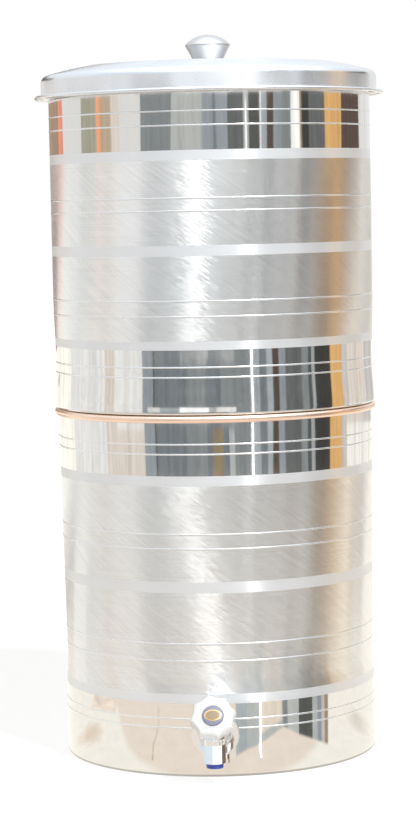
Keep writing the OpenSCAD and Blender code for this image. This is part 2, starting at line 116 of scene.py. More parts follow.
# Bands of finish from the ground up, as the height where each one ends
LOWER_BANDS = (
    (55.7, "mirror"), (62.8, "satin"), (138.9, "brushed"), (147.3, "satin"),
    (219.2, "brushed"), (226.8, "satin"), (LOWER_H + 1, "mirror"),
)
UPPER_BANDS = (
    (320.6, "mirror"), (327.1, "satin"), (390.2, "brushed"), (398.0, "satin"),
    (460.6, "brushed"), (468.1, "satin"), (RIM_Z + RIM_BEAD, "mirror"),
)

# Lid: a crown, a wide arc down its shoulder, a skirt and a rolled flange
LID_TOP_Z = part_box("lid")[1].z / MM
LID_R = UPPER_R + 5.5
LID_GAP = 0.3
CROWN_R = 97.0
CROWN_RISE = 2.7
SHOULDER_ARC_R = 246.0
SHOULDER_TILT = math.radians(9)
SKIRT_H = 15.4
SKIRT_CORNER_R = 5.5
FLANGE_W = 5.2
FLANGE_FOLD_R = 1.4
FLANGE_BEAD_R = 1.4

KNOB_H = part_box("lid_knob")[1].z / MM - LID_TOP_Z
KNOB_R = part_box("lid_knob")[1].x / MM
KNOB_FOOT_R = 11.6
KNOB_FOOT_BEVEL = 0.4
KNOB_FLARE = 1.25
KNOB_WIDE_H = 12.4
KNOB_EDGE = 1.6

# Tap. Places along the spindle, named _S, count from the middle of the tap's bulb
TAP_Z = 34.0
TILT = math.radians(33)
BULB_Y = FOOT_R + 10
# The spindle's own frame, with +Z along it
SPINDLE = Matrix.Translation(Vector((0, -BULB_Y, TAP_Z)) * MM) @ Matrix.Rotation(math.pi / 2 - TILT, 4, "X")
SPOUT_Y = FOOT_R + 22
SPOUT_FOOT_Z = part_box("tap_nozzle")[0].z / MM
NOZZLE_BORE_R = 4.6
NOZZLE_R = 6.4
NOZZLE_L = 12.66
NOZZLE_CORNER_R = 0.6
NOZZLE_INNER_CORNER_R = 0.4
BONNET_S = 16.0
BONNET_BORE_R = 4.05
BONNET_THREAD_R = 7.15
HEX_S = 21.8
HEX_H = 5.6
HEX_W = 19.0
HEX_BEVEL = 0.8
HEX_CORNER_CUT = 0.9
GLAND_R = 7.0
GLAND_H = 1.1
GLAND_BEVEL = 0.3

# Star handle: a hub on the spindle's square in a hollow back. Its heights count from its back
HANDLE_S = 29.5
HANDLE_D = 35.0
HANDLE_T = 9.5
HANDLE_TURN = math.radians(34.5)
HANDLE_EDGE = 1.2
HANDLE_BROW = 2.4
SOCKET_W = 5.86
SOCKET_H = 3.7
HUB_R = 6.5
HOLLOW_R = 12.6
HOLLOW_H = 4.5
SCREW_R = 2.0
SCREW_HEAD_R = 4.0
SCREW_SEAT_H = 5.2
# The low ridge round the cap, as radius and depth below the face
CAP_RIDGE = ((9.2, 0.25), (8.3, 0.05), (7.9, 0.35))
CAP_POCKET_R = 7.88
CAP_POCKET_H = 7.5
CAP_R = 7.8
CAP_DEPTH = 2.0
CAP_LOW = HANDLE_T - CAP_DEPTH + SEAT_GAP
CAP_PROUD = 1.3
CAP_DOME = 0.78
# The cap's rounded edge: how far in and up its corner is, and how far in its dome starts
CAP_CORNER_IN = 0.15
CAP_CORNER_UP = 0.35
CAP_DOME_IN = 0.5
# The field and the oval line on the cap: half widths, how far they stand out, thickness, and their
# height as a share of their width
FIELD_R = 5.7
FIELD_PROUD = 0.04
OVAL_LINE_R = (6.1, 5.5)
OVAL_LINE_PROUD = 0.09
OVAL_T = 0.3
OVAL_SHARE = 0.69


def colour(code):
    """Linear red, green and blue of an sRGB hex colour."""
    parts = [int(code[i:i + 2], 16) / 255 for i in (1, 3, 5)]
    return tuple(p / 12.92 if p <= 0.04045 else ((p + 0.055) / 1.055) ** 2.4 for p in parts)


# ---------- settings ----------


def colour_property(name, description, code):
    """A colour in the panel, with a hex colour to start from."""
    return FloatVectorProperty(name=name, description=description, subtype="COLOR",
                               size=3, min=0, max=1, default=colour(code))


class FilterDrumSettings(bpy.types.PropertyGroup):
    """Sizes and colours of the two drums."""

    line_width: FloatProperty(name="Line width", description="Width of an ornamental line",
                              default=1.2 * MM, min=0.5 * MM, max=4 * MM, unit="LENGTH")
    line_height: FloatProperty(name="Line height", description="How far a line stands out of the wall",
                               default=0.3 * MM, min=0.1 * MM, max=1 * MM, unit="LENGTH")
    mirror: colour_property("Mirror steel", "Colour of the polished bands", "#e2e1df")
    satin: colour_property("Satin steel", "Colour of the frosted bands", "#e6e7e8")
    brushed: colour_property("Brushed steel", "Colour of the wide brushed bands", "#ebebea")
    inside: colour_property("Inner steel", "Colour of the unpolished inside", "#c9c8c5")


class FilterLidSettings(bpy.types.PropertyGroup):
    """Colours of the lid and its knob."""

    steel: colour_property("Lid steel", "Colour of the pressed lid", "#e3e5e8")
    knob: colour_property("Knob", "Colour of the turned knob", "#c9c8c6")


class FilterRingSettings(bpy.types.PropertyGroup):
    """Colour of the ring between the drums."""

    copper: colour_property("Copper", "Colour of the polished ring", "#ffe0cc")


class FilterTapSettings(bpy.types.PropertyGroup):
    """Sizes and colours of the tap."""

    tips: IntProperty(name="Handle tips", description="Number of tips of the star handle",
                      default=8, min=6, max=10)
    dip: FloatProperty(name="Handle hollow", description="Depth of the hollow between two tips",
                       default=2.2 * MM, min=1.5 * MM, max=3 * MM, unit="LENGTH")
    chrome: colour_property("Chrome", "Colour of the plated body", "#e4e7ea")
    handle: colour_property("Handle", "Colour of the moulded handle", "#f2f2f1")
    cap: colour_property("Cap", "Colour of the cap in the handle", "#9798ac")
    cap_ring: colour_property("Cap oval", "Colour of the thin oval line on the cap", "#e0b765")
    cap_field: colour_property("Cap field", "Colour inside the oval line", "#b39c80")
    nozzle: colour_property("Nozzle", "Colour of the nozzle in the spout", "#4156b2")


class FilterStageSettings(bpy.types.PropertyGroup):
    """The studio round the filter."""

    camera_distance: FloatProperty(name="Camera distance", description="From the drums' axis",
                                   default=2.0617, min=1, max=5, unit="LENGTH")
    camera_height: FloatProperty(name="Camera height", description="Above the ground",
                                 default=0.4291, min=0, max=3, unit="LENGTH")
    camera_lens: FloatProperty(name="Lens", description="Focal length on a 36 mm sensor",
                               default=115.09, min=20, max=300, unit="CAMERA")
    card_radius: FloatProperty(name="Card distance", description="Distance of the reflection cards",
                               default=1.5, min=0.8, max=4, unit="LENGTH")
    floor: colour_property("Floor", "Colour of the floor", "#f1eeea")
    ground: colour_property("Ground ahead", "What the steel mirrors of the floor ahead", "#e3d8cc")
    pale: colour_property("Pale ground", "What the steel mirrors of the floor beside it", "#efebe2")


# ---------- meshes ----------


def mix(a, b, share):
    """The value at a share of the way from a to b."""
    return a + (b - a) * share


def ease(x):
    """Smooth step from 0 to 1."""
    return (1 - math.cos(math.pi * max(0.0, min(1.0, x)))) / 2


def rounded(points, steps=6):
    """The (r, z, radius) points as a line whose corners are rounded by their radius."""
    line = []
    for i, point in enumerate(points):
        here = Vector(point[:2])
        if len(point) < 3 or i in (0, len(points) - 1):
            line.append(tuple(here))
            continue
        radius = point[2]
        to_last = (Vector(points[i - 1][:2]) - here).normalized()
        to_next = (Vector(points[i + 1][:2]) - here).normalized()
        half = to_last.angle(to_next) / 2
        centre = here + (to_last + to_next).normalized() * radius / math.sin(half)
        start = (here + to_last * radius / math.tan(half) - centre).normalized()
        end = (here + to_next * radius / math.tan(half) - centre).normalized()
        turn = math.pi - 2 * half
        for k in range(steps + 1):
            t = k / steps
            way = (start * math.sin((1 - t) * turn) + end * math.sin(t * turn)) / math.sin(turn)
            line.append(tuple(centre + way * radius))
    return line


def beside(line, distance):
    """The line moved to the left of its direction."""
    moved = []
    for i, point in enumerate(line):
        last = Vector(line[max(i, 1)]) - Vector(line[max(i, 1) - 1])
        following = Vector(line[min(i + 1, len(line) - 1)]) - Vector(line[min(i, len(line) - 2)])
        left = [Vector((-v.y, v.x)).normalized() for v in (last, following)]
        middle = (left[0] + left[1]).normalized()
        moved.append(tuple(Vector(point) + middle * distance / middle.dot(left[0])))
    return moved


def with_heights(line, heights):
    """The line with a point added wherever it crosses one of the heights."""
    out = [line[0]]
    for a, b in zip(line, line[1:]):
        crossed = [h for h in heights if min(a[1], b[1]) < h < max(a[1], b[1])]
        for h in sorted(crossed, reverse=b[1] < a[1]):
            out.append((mix(a[0], b[0], (h - a[1]) / (b[1] - a[1])), h))
        out.append(b)
    return out


def sheet_outline(line, thickness=SHEET):
    """Closed outline of a sheet whose outer face follows the line."""
    return line + beside(line, thickness)[::-1]


def arc(centre, radius, start, end, steps):
    """Points of an arc, with its angles in degrees."""
    turns = [math.radians(mix(start, end, k / steps)) for k in range(steps + 1)]
    return [(centre[0] + radius * math.cos(t), centre[1] + radius * math.sin(t)) for t in turns]


def rolled_bead(centre_r, centre_z, radius):
    """Outline of a rolled edge, all but closed."""
    return arc((centre_r, centre_z), radius, 0, 345, 23)


def linked(name, data):
    """A new object in the scene."""
    piece = bpy.data.objects.new(name, data)
    bpy.context.scene.collection.objects.link(piece)
    return piece


def smooth(mesh):
    """Shades all faces smooth."""
    mesh.polygons.foreach_set("use_smooth", [True] * len(mesh.polygons))


def turned(name, outlines, materials, finish=None, place=None, steps=ROUND, sharp=40):
    """Surface of revolution of closed outlines of (r, z) points in millimetres.

    A point's r may be a function of the angle. finish(z, out) gives the material of a face from its
    height and from how far it faces out. Edges sharper than an angle in degrees stay sharp.
    """
    corners, faces, slots, flow = [], [], [], []
    for outline in outlines:
        # a radius that changes with the angle is measured at one place, between two of its corners
        size = [(r(0.1) if callable(r) else r, z) for r, z in outline]
        area = sum(a[0] * b[1] - b[0] * a[1] for a, b in zip(size, size[1:] + size[:1]))
        if area < 0:
            outline, size = outline[::-1], size[::-1]
        rows = []
        for radius, z in outline:
            pole = not callable(radius) and radius < 1e-6
            rows.append((len(corners), pole))
            for k in range(1 if pole else steps):
                turn = math.pi / 2 + 2 * math.pi * k / steps
                reach = radius(turn) if callable(radius) else radius
                corners.append((reach * math.cos(turn) * MM, reach * math.sin(turn) * MM, z * MM))
        run = [0.0]
        for a, b in zip(size, size[1:] + size[:1]):
            run.append(run[-1] + math.dist(a, b))
        wide = max(p[0] for p in size)
        for i, (first, first_pole) in enumerate(rows):
            second, second_pole = rows[(i + 1) % len(rows)]
            if first_pole and second_pole:
                continue
            low, high = size[i][1], size[(i + 1) % len(size)][1]
            slot = finish((low + high) / 2, high - low) if finish else 0
            for k in range(steps):
                after = (k + 1) % steps
                ring = [(first, first_pole, k, i), (first, first_pole, after, i),
                        (second, second_pole, after, i + 1), (second, second_pole, k, i + 1)]
                face, chart = [], []
                for start, pole, step, row in ring:
                    corner = start if pole else start + step
                    if corner in face:
                        continue
                    face.append(corner)
                    # the chart is in metres, round the widest place and along the outline
                    along = k + 1 if step == after else k
                    chart.append((along / steps * 2 * math.pi * wide * MM, run[row] * MM))
                faces.append(face)
                slots.append(slot)
                flow.extend(chart)
    mesh = bpy.data.meshes.new(name)
    mesh.from_pydata(corners, [], faces)
    chart = mesh.uv_layers.new(name="Surface")
    for loop, place_uv in zip(chart.data, flow):
        loop.uv = place_uv
    for material in materials:
        mesh.materials.append(material)
    mesh.polygons.foreach_set("material_index", slots)
    if place is not None:
        mesh.transform(place)
    smooth(mesh)
    mesh.set_sharp_from_angle(angle=math.radians(sharp))
    mesh.update()
    return linked(name, mesh)


def baked(piece):
    """Turns the piece with its modifiers into a plain smooth mesh."""
    bpy.context.view_layer.update()
    seen = piece.evaluated_get(bpy.context.evaluated_depsgraph_get())
    mesh = bpy.data.meshes.new_from_object(seen)
    piece.modifiers.clear()
    old = piece.data
    piece.data = mesh
    bpy.data.meshes.remove(old)
    smooth(mesh)
    return piece


def settle(piece, body, slot, *nodes):
    """Ties a finished piece to its body and hides the imported nodes that it stands for. The slot is not
    used.
    """
    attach(piece, body)
    if nodes:
        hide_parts(*nodes)
    return piece


# ---------- materials ----------


def add(tree, kind, sockets=None, **settings):
    """Adds a node with its settings. A socket's value is a number, a colour or another socket."""
    node = tree.nodes.new(kind)
    for key, value in settings.items():
        setattr(node, key, value)
    for key, value in (sockets or {}).items():
        if isinstance(value, bpy.types.NodeSocket):
            tree.links.new(value, node.inputs[key])
        else:
            node.inputs[key].default_value = value
    return node


def new_material(name, base, **sockets):
    """A material with a Principled shader, and its tree, or no tree where the material is there already."""
    material = bpy.data.materials.get(name)
    if material:
        return material, None, None
    material = bpy.data.materials.new(name)
    material.use_nodes = True
    tree = material.node_tree
    shader = tree.nodes["Principled BSDF"]
    shader.inputs["Base Color"].default_value = (*base, 1)
    for key, value in sockets.items():
        shader.inputs[key.replace("_", " ").title().replace("Ior", "IOR")].default_value = value
    return material, tree, shader


def noise_on(tree, place, scale, stretch=(1, 1, 1), turn=0.0, detail=3.0, rough=0.55):
    """Noise on Object or UV coordinates. It can be stretched to a grain and then turned in degrees."""
    coordinates = add(tree, "ShaderNodeTexCoord").outputs[place]
    mapped = add(tree, "ShaderNodeMapping", {
        "Vector": coordinates, "Rotation": (0, 0, math.radians(turn)),
        "Scale": tuple(1 / factor for factor in stretch)}, vector_type="TEXTURE")
    noise = add(tree, "ShaderNodeTexNoise", {"Vector": mapped.outputs["Vector"], "Scale": scale,
                                             "Detail": detail, "Roughness": rough})
    return noise.outputs["Fac"]


def dress(tree, shader, base, factor, rough=None, shade=None, depth=None):
    """Lets a factor from 0 to 1 set the roughness between two values, darken and lighten the base
    colour by two shares, and raise the surface by a depth in metres."""
    if rough:
        low, high = rough
        ranged = add(tree, "ShaderNodeMapRange", {"Value": factor, "To Min": low, "To Max": high})
        tree.links.new(ranged.outputs["Result"], shader.inputs["Roughness"])
    if shade:
        dark, light = (tuple(min(1.0, c * k) for c in base) + (1,) for k in shade)
        mixed = add(tree, "ShaderNodeMix", {"Factor": factor, 6: dark, 7: light}, data_type="RGBA")
        tree.links.new(mixed.outputs[2], shader.inputs["Base Color"])
    if depth:
        bump = add(tree, "ShaderNodeBump", {"Height": factor, "Distance": depth, "Strength": 1.0})
        tree.links.new(bump.outputs["Normal"], shader.inputs["Normal"])


def mottled(name, base, noise, rough=None, shade=None, depth=None, **sockets):
    """A material that one noise on Object coordinates dresses."""
    material, tree, shader = new_material(name, base, **sockets)
    if tree:
        dress(tree, shader, base, noise_on(tree, "Object", **noise), rough, shade, depth)
    return material


def brush_round(tree, shader):
    """Lets a shader's anisotropy follow circles round the Z axis."""
    around = add(tree, "ShaderNodeTangent", direction_type="RADIAL", axis="Z")
    tree.links.new(around.outputs["Tangent"], shader.inputs["Tangent"])


def mirror_steel(base):
    """Stainless steel, buffed: crisp upright reflections that waver a little, with faint wipe marks."""
    material, tree, shader = new_material("buffed_stainless_steel", base, metallic=1.0)
    if tree:
        # hand-buffed sheet is uneven over some 60 mm round the drum, and more even upwards
        waver = noise_on(tree, "Object", 16.0, stretch=(1, 1, 0.22), detail=2.0)
        dress(tree, shader, base, waver, depth=0.0007)
        # wipe marks, some 4 mm apart
        wipes = noise_on(tree, "Object", 240.0, stretch=(1, 1, 0.3), detail=4.0)
        dress(tree, shader, base, wipes, rough=(0.035, 0.085), shade=(0.965, 1.02))
    return material


def satin_steel(base):
    """Stainless steel, frosted with fine grit: an even pale sheen with no clear reflection."""
    material, tree, shader = new_material("frosted_stainless_steel", base, metallic=1.0)
    if tree:
        # 0.3 mm grit, drawn at 0.7 mm so that it shows
        grit = noise_on(tree, "Object", 1400.0, detail=2.0)
        dress(tree, shader, base, grit, rough=(0.6, 0.72), shade=(0.96, 1.03), depth=0.00002)
        # the lathe's level scratches under the frosting draw the sun out into a short upright star
        scratched = add(tree, "ShaderNodeBsdfPrincipled", {
            "Base Color": (*base, 1), "Metallic": 1.0, "Roughness": 0.32, "Anisotropic": 1.0,
            "Anisotropic Rotation": 0.25})
        brush_round(tree, scratched)
        both = add(tree, "ShaderNodeMixShader", {0: 0.3, 1: shader.outputs[0], 2: scratched.outputs[0]})
        tree.links.new(both.outputs[0], tree.nodes["Material Output"].inputs["Surface"])
    return material


def across(slant):
    """Anisotropic rotation that spreads light across strokes that slant by some degrees."""
    return 0.25 - slant / 360


def brushed_steel(base):
    """Stainless steel, brushed in long strokes that slant down to the right.

    The strokes spread each light across themselves, so the high sun's highlight stands left of
    the sun, and it leans on the lower drum, where the strokes steepen upwards.
    """
    material, tree, shader = new_material(
        "brushed_stainless_steel", base, metallic=1.0, roughness=0.27, anisotropic=1.0)
    if tree:
        # brush lines 0.3 mm apart, drawn at 0.8 mm
        lines = noise_on(tree, "UV", 1250.0, stretch=(0.012, 1, 1), detail=3.0)
        # single strokes, some 2 mm apart and 50 mm long, on the slant
        strokes = noise_on(tree, "UV", 480.0, stretch=(0.04, 1, 1), turn=-BRUSH_SLANT, detail=4.0)
        both = add(tree, "ShaderNodeMath", {0: lines, 1: strokes}, operation="ADD").outputs["Value"]
        half = add(tree, "ShaderNodeMath", {0: both, 1: 0.5}, operation="MULTIPLY").outputs["Value"]
        dress(tree, shader, base, half, shade=(0.78, 1.14))
        dress(tree, shader, base, strokes, depth=0.00006)
        brush_round(tree, shader)
        # the slant is even on the upper drum, and steepens from 70 to 200 mm up the lower one
        place = add(tree, "ShaderNodeTexCoord").outputs["Object"]
        height = add(tree, "ShaderNodeSeparateXYZ", {0: place}).outputs["Z"]
        rise = add(tree, "ShaderNodeMapRange", {"Value": height, "From Min": 0.07, "From Max": 0.2})
        bent = add(tree, "ShaderNodeMath", {0: rise.outputs["Result"], 1: 1.7}, operation="POWER")
        lower = add(tree, "ShaderNodeMapRange", {
            "Value": bent.outputs["Value"], "To Min": across(BRUSH_SLANT - 10),
            "To Max": across(BRUSH_SLANT + 2.5)}).outputs["Result"]
        upper = add(tree, "ShaderNodeMath", {0: height, 1: LIP_Z * MM}, operation="GREATER_THAN")
        slope = add(tree, "ShaderNodeMix", {
            "Factor": upper.outputs["Value"], 2: lower, 3: across(BRUSH_SLANT)}).outputs[0]
        # hairlines 0.6 mm apart, each astray by up to 7 degrees, which widens the highlight
        hairs = noise_on(tree, "UV", 1600.0, stretch=(0.05, 1, 1), turn=-BRUSH_SLANT, detail=3.0, rough=0.6)
        stray = add(tree, "ShaderNodeMapRange", {
            "Value": hairs, "From Min": 0.35, "From Max": 0.65,
            "To Min": -7 / 360, "To Max": 7 / 360}).outputs["Result"]
        turn = add(tree, "ShaderNodeMath", {0: slope, 1: stray}, operation="ADD").outputs["Value"]
        tree.links.new(turn, shader.inputs["Anisotropic Rotation"])
    return material


def inner_steel(base):
    """Stainless steel as rolled, for the insides: a dull grey sheen with faint cloudiness."""
    # clouds of some 17 mm
    return mottled("rolled_stainless_steel", base, {"scale": 60.0, "detail": 4.0},
                   rough=(0.3, 0.42), shade=(0.93, 1.03), metallic=1.0)


def line_steel(base):
    """Stainless steel, the raised lines: rubbed bright on their crowns."""
    # wear that changes over some 11 mm
    return mottled("rubbed_stainless_steel", base, {"scale": 90.0},
                   rough=(0.2, 0.32), shade=(0.97, 1.04), metallic=1.0)


def lid_steel(base):
    """Stainless steel, spun: fine circles round the lid's axis over a soft polish."""
    material, tree, shader = new_material(
        "spun_stainless_steel", base, metallic=1.0, anisotropic=0.6, anisotropic_rotation=0.25)
    if tree:
        place = add(tree, "ShaderNodeTexCoord").outputs["Object"]
        flat = add(tree, "ShaderNodeVectorMath", {0: place, 1: (1, 1, 0)}, operation="MULTIPLY")
        radius = add(tree, "ShaderNodeVectorMath", {0: flat.outputs["Vector"]}, operation="LENGTH")
        # turning lines 0.4 mm apart, drawn at 1.2 mm
        rings = add(tree, "ShaderNodeTexNoise", {"W": radius.outputs["Value"], "Scale": 850.0, "Detail": 3.0},
                    noise_dimensions="1D").outputs["Fac"]
        dress(tree, shader, base, rings, shade=(0.93, 1.04), depth=0.00002)
        # the polish changes over some 33 mm
        cloud = noise_on(tree, "Object", 30.0)
        dress(tree, shader, base, cloud, rough=(0.2, 0.34))
        brush_round(tree, shader)
    return material


def knob_metal(base):
    """Aluminium, turned on a lathe: a soft satin sheen with turning lines round the knob."""
    # turning lines 0.25 mm apart, drawn at 0.6 mm
    lines = {"scale": 1.0, "stretch": (8, 8, 1600), "detail": 2.0}
    return mottled("turned_aluminium", base, lines,
                   rough=(0.24, 0.36), shade=(0.95, 1.03), depth=0.00002, metallic=1.0)


def copper_metal(base):
    """Copper, polished: warm and bright, a little browner where it has tarnished."""
    material, tree, shader = new_material("polished_copper", base, metallic=1.0)
    if tree:
        # patches of tarnish some 18 mm long
        tarnish = noise_on(tree, "Object", 55.0, detail=5.0)
        dress(tree, shader, base, tarnish, rough=(0.26, 0.38), shade=(0.9, 1.05))
        # scuffs of 0.3 mm, drawn at 1.1 mm
        scuffs = noise_on(tree, "Object", 900.0, detail=2.0)
        dress(tree, shader, base, scuffs, depth=0.00002)
    return material


def chrome_metal(base):
    """Chromium plate on a brass casting: nearly a mirror, softened by the casting's unevenness."""
    # the casting is uneven over some 6 mm
    return mottled("chromium_plate", base, {"scale": 160.0},
                   rough=(0.08, 0.17), depth=0.00012, metallic=1.0)


def plated_steel(base):
    """Nickel-plated steel of the fasteners: a grey half-gloss with fine scratches."""
    # scratches of 0.1 mm, drawn at 1.4 mm and five times as long
    return mottled("nickel_plated_steel", base, {"scale": 700.0, "stretch": (1, 0.2, 1)},
                   rough=(0.2, 0.4), metallic=1.0)


def brass_metal(base):
    """Brass, machined: yellow with fine tool lines."""
    # tool lines 0.2 mm apart, drawn at 0.7 mm
    return mottled("machined_brass", base, {"scale": 1500.0, "stretch": (1, 0.3, 0.3), "detail": 2.0},
                   rough=(0.22, 0.38), shade=(0.92, 1.04), metallic=1.0)


def handle_plastic(base):
    """ABS, moulded and glossy: white with a shallow waviness from moulding."""
    # waves some 4 mm apart
    return mottled("moulded_white_abs", base, {"scale": 260.0, "detail": 2.0},
                   rough=(0.2, 0.32), shade=(0.98, 1.01), depth=0.00006, ior=1.53, specular_ior_level=0.5)


def cap_plastic(base):
    """ABS, moulded: grey-violet and glossy, with fine specks under its skin."""
    # specks of 0.2 mm, drawn at 0.8 mm
    return mottled("moulded_grey_abs", base, {"scale": 1300.0, "detail": 2.0},
                   rough=(0.3, 0.42), shade=(0.9, 1.08), ior=1.53)


def foil_gold(base):
    """Gold foil, hot-stamped: the thin plain oval line on the cap."""
    # creases of 0.2 mm, drawn at 0.8 mm
    return mottled("stamped_gold_foil", base, {"scale": 1200.0}, rough=(0.25, 0.45), metallic=1.0)


def field_print(base):
    """Enamel ink, pad-printed: the flat bronze-brown field inside the oval line, a little mottled."""
    # patches of ink of some 1 mm
    return mottled("printed_enamel_ink", base, {"scale": 900.0},
                   rough=(0.35, 0.5), shade=(0.85, 1.12), ior=1.5)


def nozzle_plastic(base):
    """Polypropylene, moulded: blue, half-gloss and slightly waxy."""
    # flow marks some 2 mm apart
    return mottled("moulded_blue_polypropylene", base, {"scale": 500.0, "detail": 2.0},
                   rough=(0.26, 0.4), shade=(0.92, 1.08),
                   ior=1.49, subsurface_weight=0.15, subsurface_scale=0.002)


def candle_plastic(base):
    """Polypropylene, moulded: the milky white feet and nuts of the candles."""
    # flow marks some 2.5 mm apart
    return mottled("moulded_white_polypropylene", base, {"scale": 400.0, "detail": 2.0},
                   rough=(0.3, 0.45), ior=1.49, subsurface_weight=0.1, subsurface_scale=0.003)


def candle_ceramic(base):
    """Diatomite ceramic, fired and unglazed: chalky off-white with open pores."""
    # pores of 0.2 mm, drawn at 0.8 mm
    return mottled("fired_diatomite", base, {"scale": 1200.0, "detail": 4.0, "rough": 0.7},
                   shade=(0.9, 1.04), depth=0.0001, roughness=0.85)


def seal_rubber(base):
    """Nitrile rubber, moulded: dull black with a fine bloom."""
    # bloom in patches of some 3 mm
    return mottled("moulded_nitrile_rubber", base, {"scale": 350.0, "detail": 4.0},
                   rough=(0.55, 0.75), shade=(0.85, 1.3), ior=1.52)


# ---------- drums ----------


def upper_wall(h):
    """Outer radius of the upper wall at a height above its lip."""
    if h < NECK_H:
        return UPPER_R + LIP_PROUD - (LIP_PROUD + NECK_DIP) * ease(h / NECK_H)
    return UPPER_R - NECK_DIP * (1 - ease((h - NECK_H) / (NECK_END_H - NECK_H)))


def lower_wall(z):
    """Outer radius of the lower wall at a height above the ground."""
    if z < WAIST_Z:
        return mix(FOOT_R, WAIST_R, ease((z - FOOT_TOP_Z) / (WAIST_Z - FOOT_TOP_Z)))
    return mix(WAIST_R, MOUTH_R, min(1.0, (z - WAIST_Z) / (MOUTH_Z - WAIST_Z)))


def drum_finish(bands, lowest):
    """Material index of a drum's face: the outer wall is banded and the inside is plain."""
    order = {"mirror": 0, "satin": 1, "brushed": 2}
    plain = 3

    def finish(z, out):
        if out <= 0 and z > lowest:
            return plain
        return order[next(name for top, name in bands if z < top)]

    return finish


class FILTER_OT_drums(bpy.types.Operator):
    """Build the banded walls of both drums"""

    bl_idname = "filter.drums"
    bl_label = "Drums"

    def execute(self, context):
        look = context.scene.filter_drums
        finishes = [mirror_steel(look.mirror), satin_steel(look.satin), brushed_steel(look.brushed),
                    inner_steel(look.inside)]
        wall = [(upper_wall(h), LIP_Z + h) for h in [NECK_END_H * i / 28 for i in range(1, 29)]]
        line = rounded([(0, FLOOR_Z), (NEST_R, FLOOR_Z, NEST_CORNER_R), (NEST_R, LIP_Z, LIP_FOLD_R),
                        (upper_wall(0), LIP_Z, LIP_CORNER_R), *wall, (UPPER_R, RIM_Z)])
        line = with_heights(line, [top for top, _ in UPPER_BANDS])
        upper = turned("upper_drum_wall", [sheet_outline(line), rolled_bead(RIM_R, RIM_Z, RIM_BEAD / 2)],
                       finishes, drum_finish(UPPER_BANDS, FLOOR_Z + SHEET / 2))
        settle(upper, "upper_drum", "drum_steel", "upper_container")

        heights = [mix(FOOT_TOP_Z, WAIST_Z, i / 12) for i in range(13)]
        line = rounded([(FOOT_R - HEM, 0), (FOOT_R, 0, FOOT_CORNER_R),
                        *[(lower_wall(z), z) for z in heights], (MOUTH_R, MOUTH_Z), (MOUTH_R, LOWER_H)])
        line = with_heights(line, [top for top, _ in LOWER_BANDS])
        lower = turned("lower_drum_wall", [sheet_outline(line)], finishes,
                       drum_finish(LOWER_BANDS, SHEET / 2))
        settle(lower, "lower_drum", "drum_steel", "lower_container")
        return {"FINISHED"}


def line_tree():
    """Geometry Nodes: a raised ring round the axis for each point, as wide as the point is far out."""
    tree = bpy.data.node_groups.new("raised_lines", "GeometryNodeTree")
    sides = tree.interface.new_socket
    sides("Geometry", in_out="INPUT", socket_type="NodeSocketGeometry")
    for label in ("Line Width", "Line Height"):
        sides(label, in_out="INPUT", socket_type="NodeSocketFloat")
    sides("Finish", in_out="INPUT", socket_type="NodeSocketMaterial")
    sides("Geometry", in_out="OUTPUT", socket_type="NodeSocketGeometry")
    given = add(tree, "NodeGroupInput").outputs
    # each point moves onto the axis and keeps its distance as the size of its ring
    point = add(tree, "GeometryNodeInputPosition").outputs[0]
    place = add(tree, "ShaderNodeSeparateXYZ", {0: point}).outputs
    on_axis = add(tree, "ShaderNodeCombineXYZ", {"Z": place["Z"]}).outputs[0]
    reach = add(tree, "ShaderNodeCombineXYZ", {"X": place["X"], "Y": place["X"], "Z": 1.0}).outputs[0]
    kept = add(tree, "GeometryNodeCaptureAttribute", {"Geometry": given["Geometry"]})
    kept.capture_items.new("VECTOR", "Reach")
    tree.links.new(reach, kept.inputs["Reach"])
    points = add(tree, "GeometryNodeSetPosition", {
        "Geometry": kept.outputs["Geometry"], "Position": on_axis})
    ring = add(tree, "GeometryNodeCurvePrimitiveCircle", {
        "Resolution": ROUND, "Radius": 1.0}, mode="RADIUS")
    rings = add(tree, "GeometryNodeInstanceOnPoints", {
        "Points": points.outputs[0], "Instance": ring.outputs["Curve"], "Scale": kept.outputs["Reach"]})
    real = add(tree, "GeometryNodeRealizeInstances", {"Geometry": rings.outputs[0]})
    # the section is an oval, half of it inside the wall
    circle = add(tree, "GeometryNodeCurvePrimitiveCircle", {
        "Resolution": 16, "Radius": 0.5}, mode="RADIUS")
    depth = add(tree, "ShaderNodeMath", {0: given["Line Height"], 1: 2.0}, operation="MULTIPLY").outputs[0]
    oval = add(tree, "ShaderNodeCombineXYZ", {"X": depth, "Y": given["Line Width"], "Z": 1.0}).outputs[0]
    section = add(tree, "GeometryNodeTransform", {
        "Geometry": circle.outputs["Curve"], "Scale": oval})
    tube = add(tree, "GeometryNodeCurveToMesh", {
        "Curve": real.outputs[0], "Profile Curve": section.outputs[0]})
    whole = add(tree, "GeometryNodeRealizeInstances", {"Geometry": tube.outputs[0]})
    dressed = add(tree, "GeometryNodeSetMaterial", {
        "Geometry": whole.outputs[0], "Material": given["Finish"]})
    add(tree, "NodeGroupOutput", {"Geometry": dressed.outputs[0]})
    return tree


def set_inputs(modifier, values):
    """Sets a Geometry Nodes modifier's inputs by their names."""
    for item in modifier.node_group.interface.items_tree:
        if item.item_type == "SOCKET" and item.in_out == "INPUT" and item.name in values:
            modifier[item.identifier] = values[item.name]


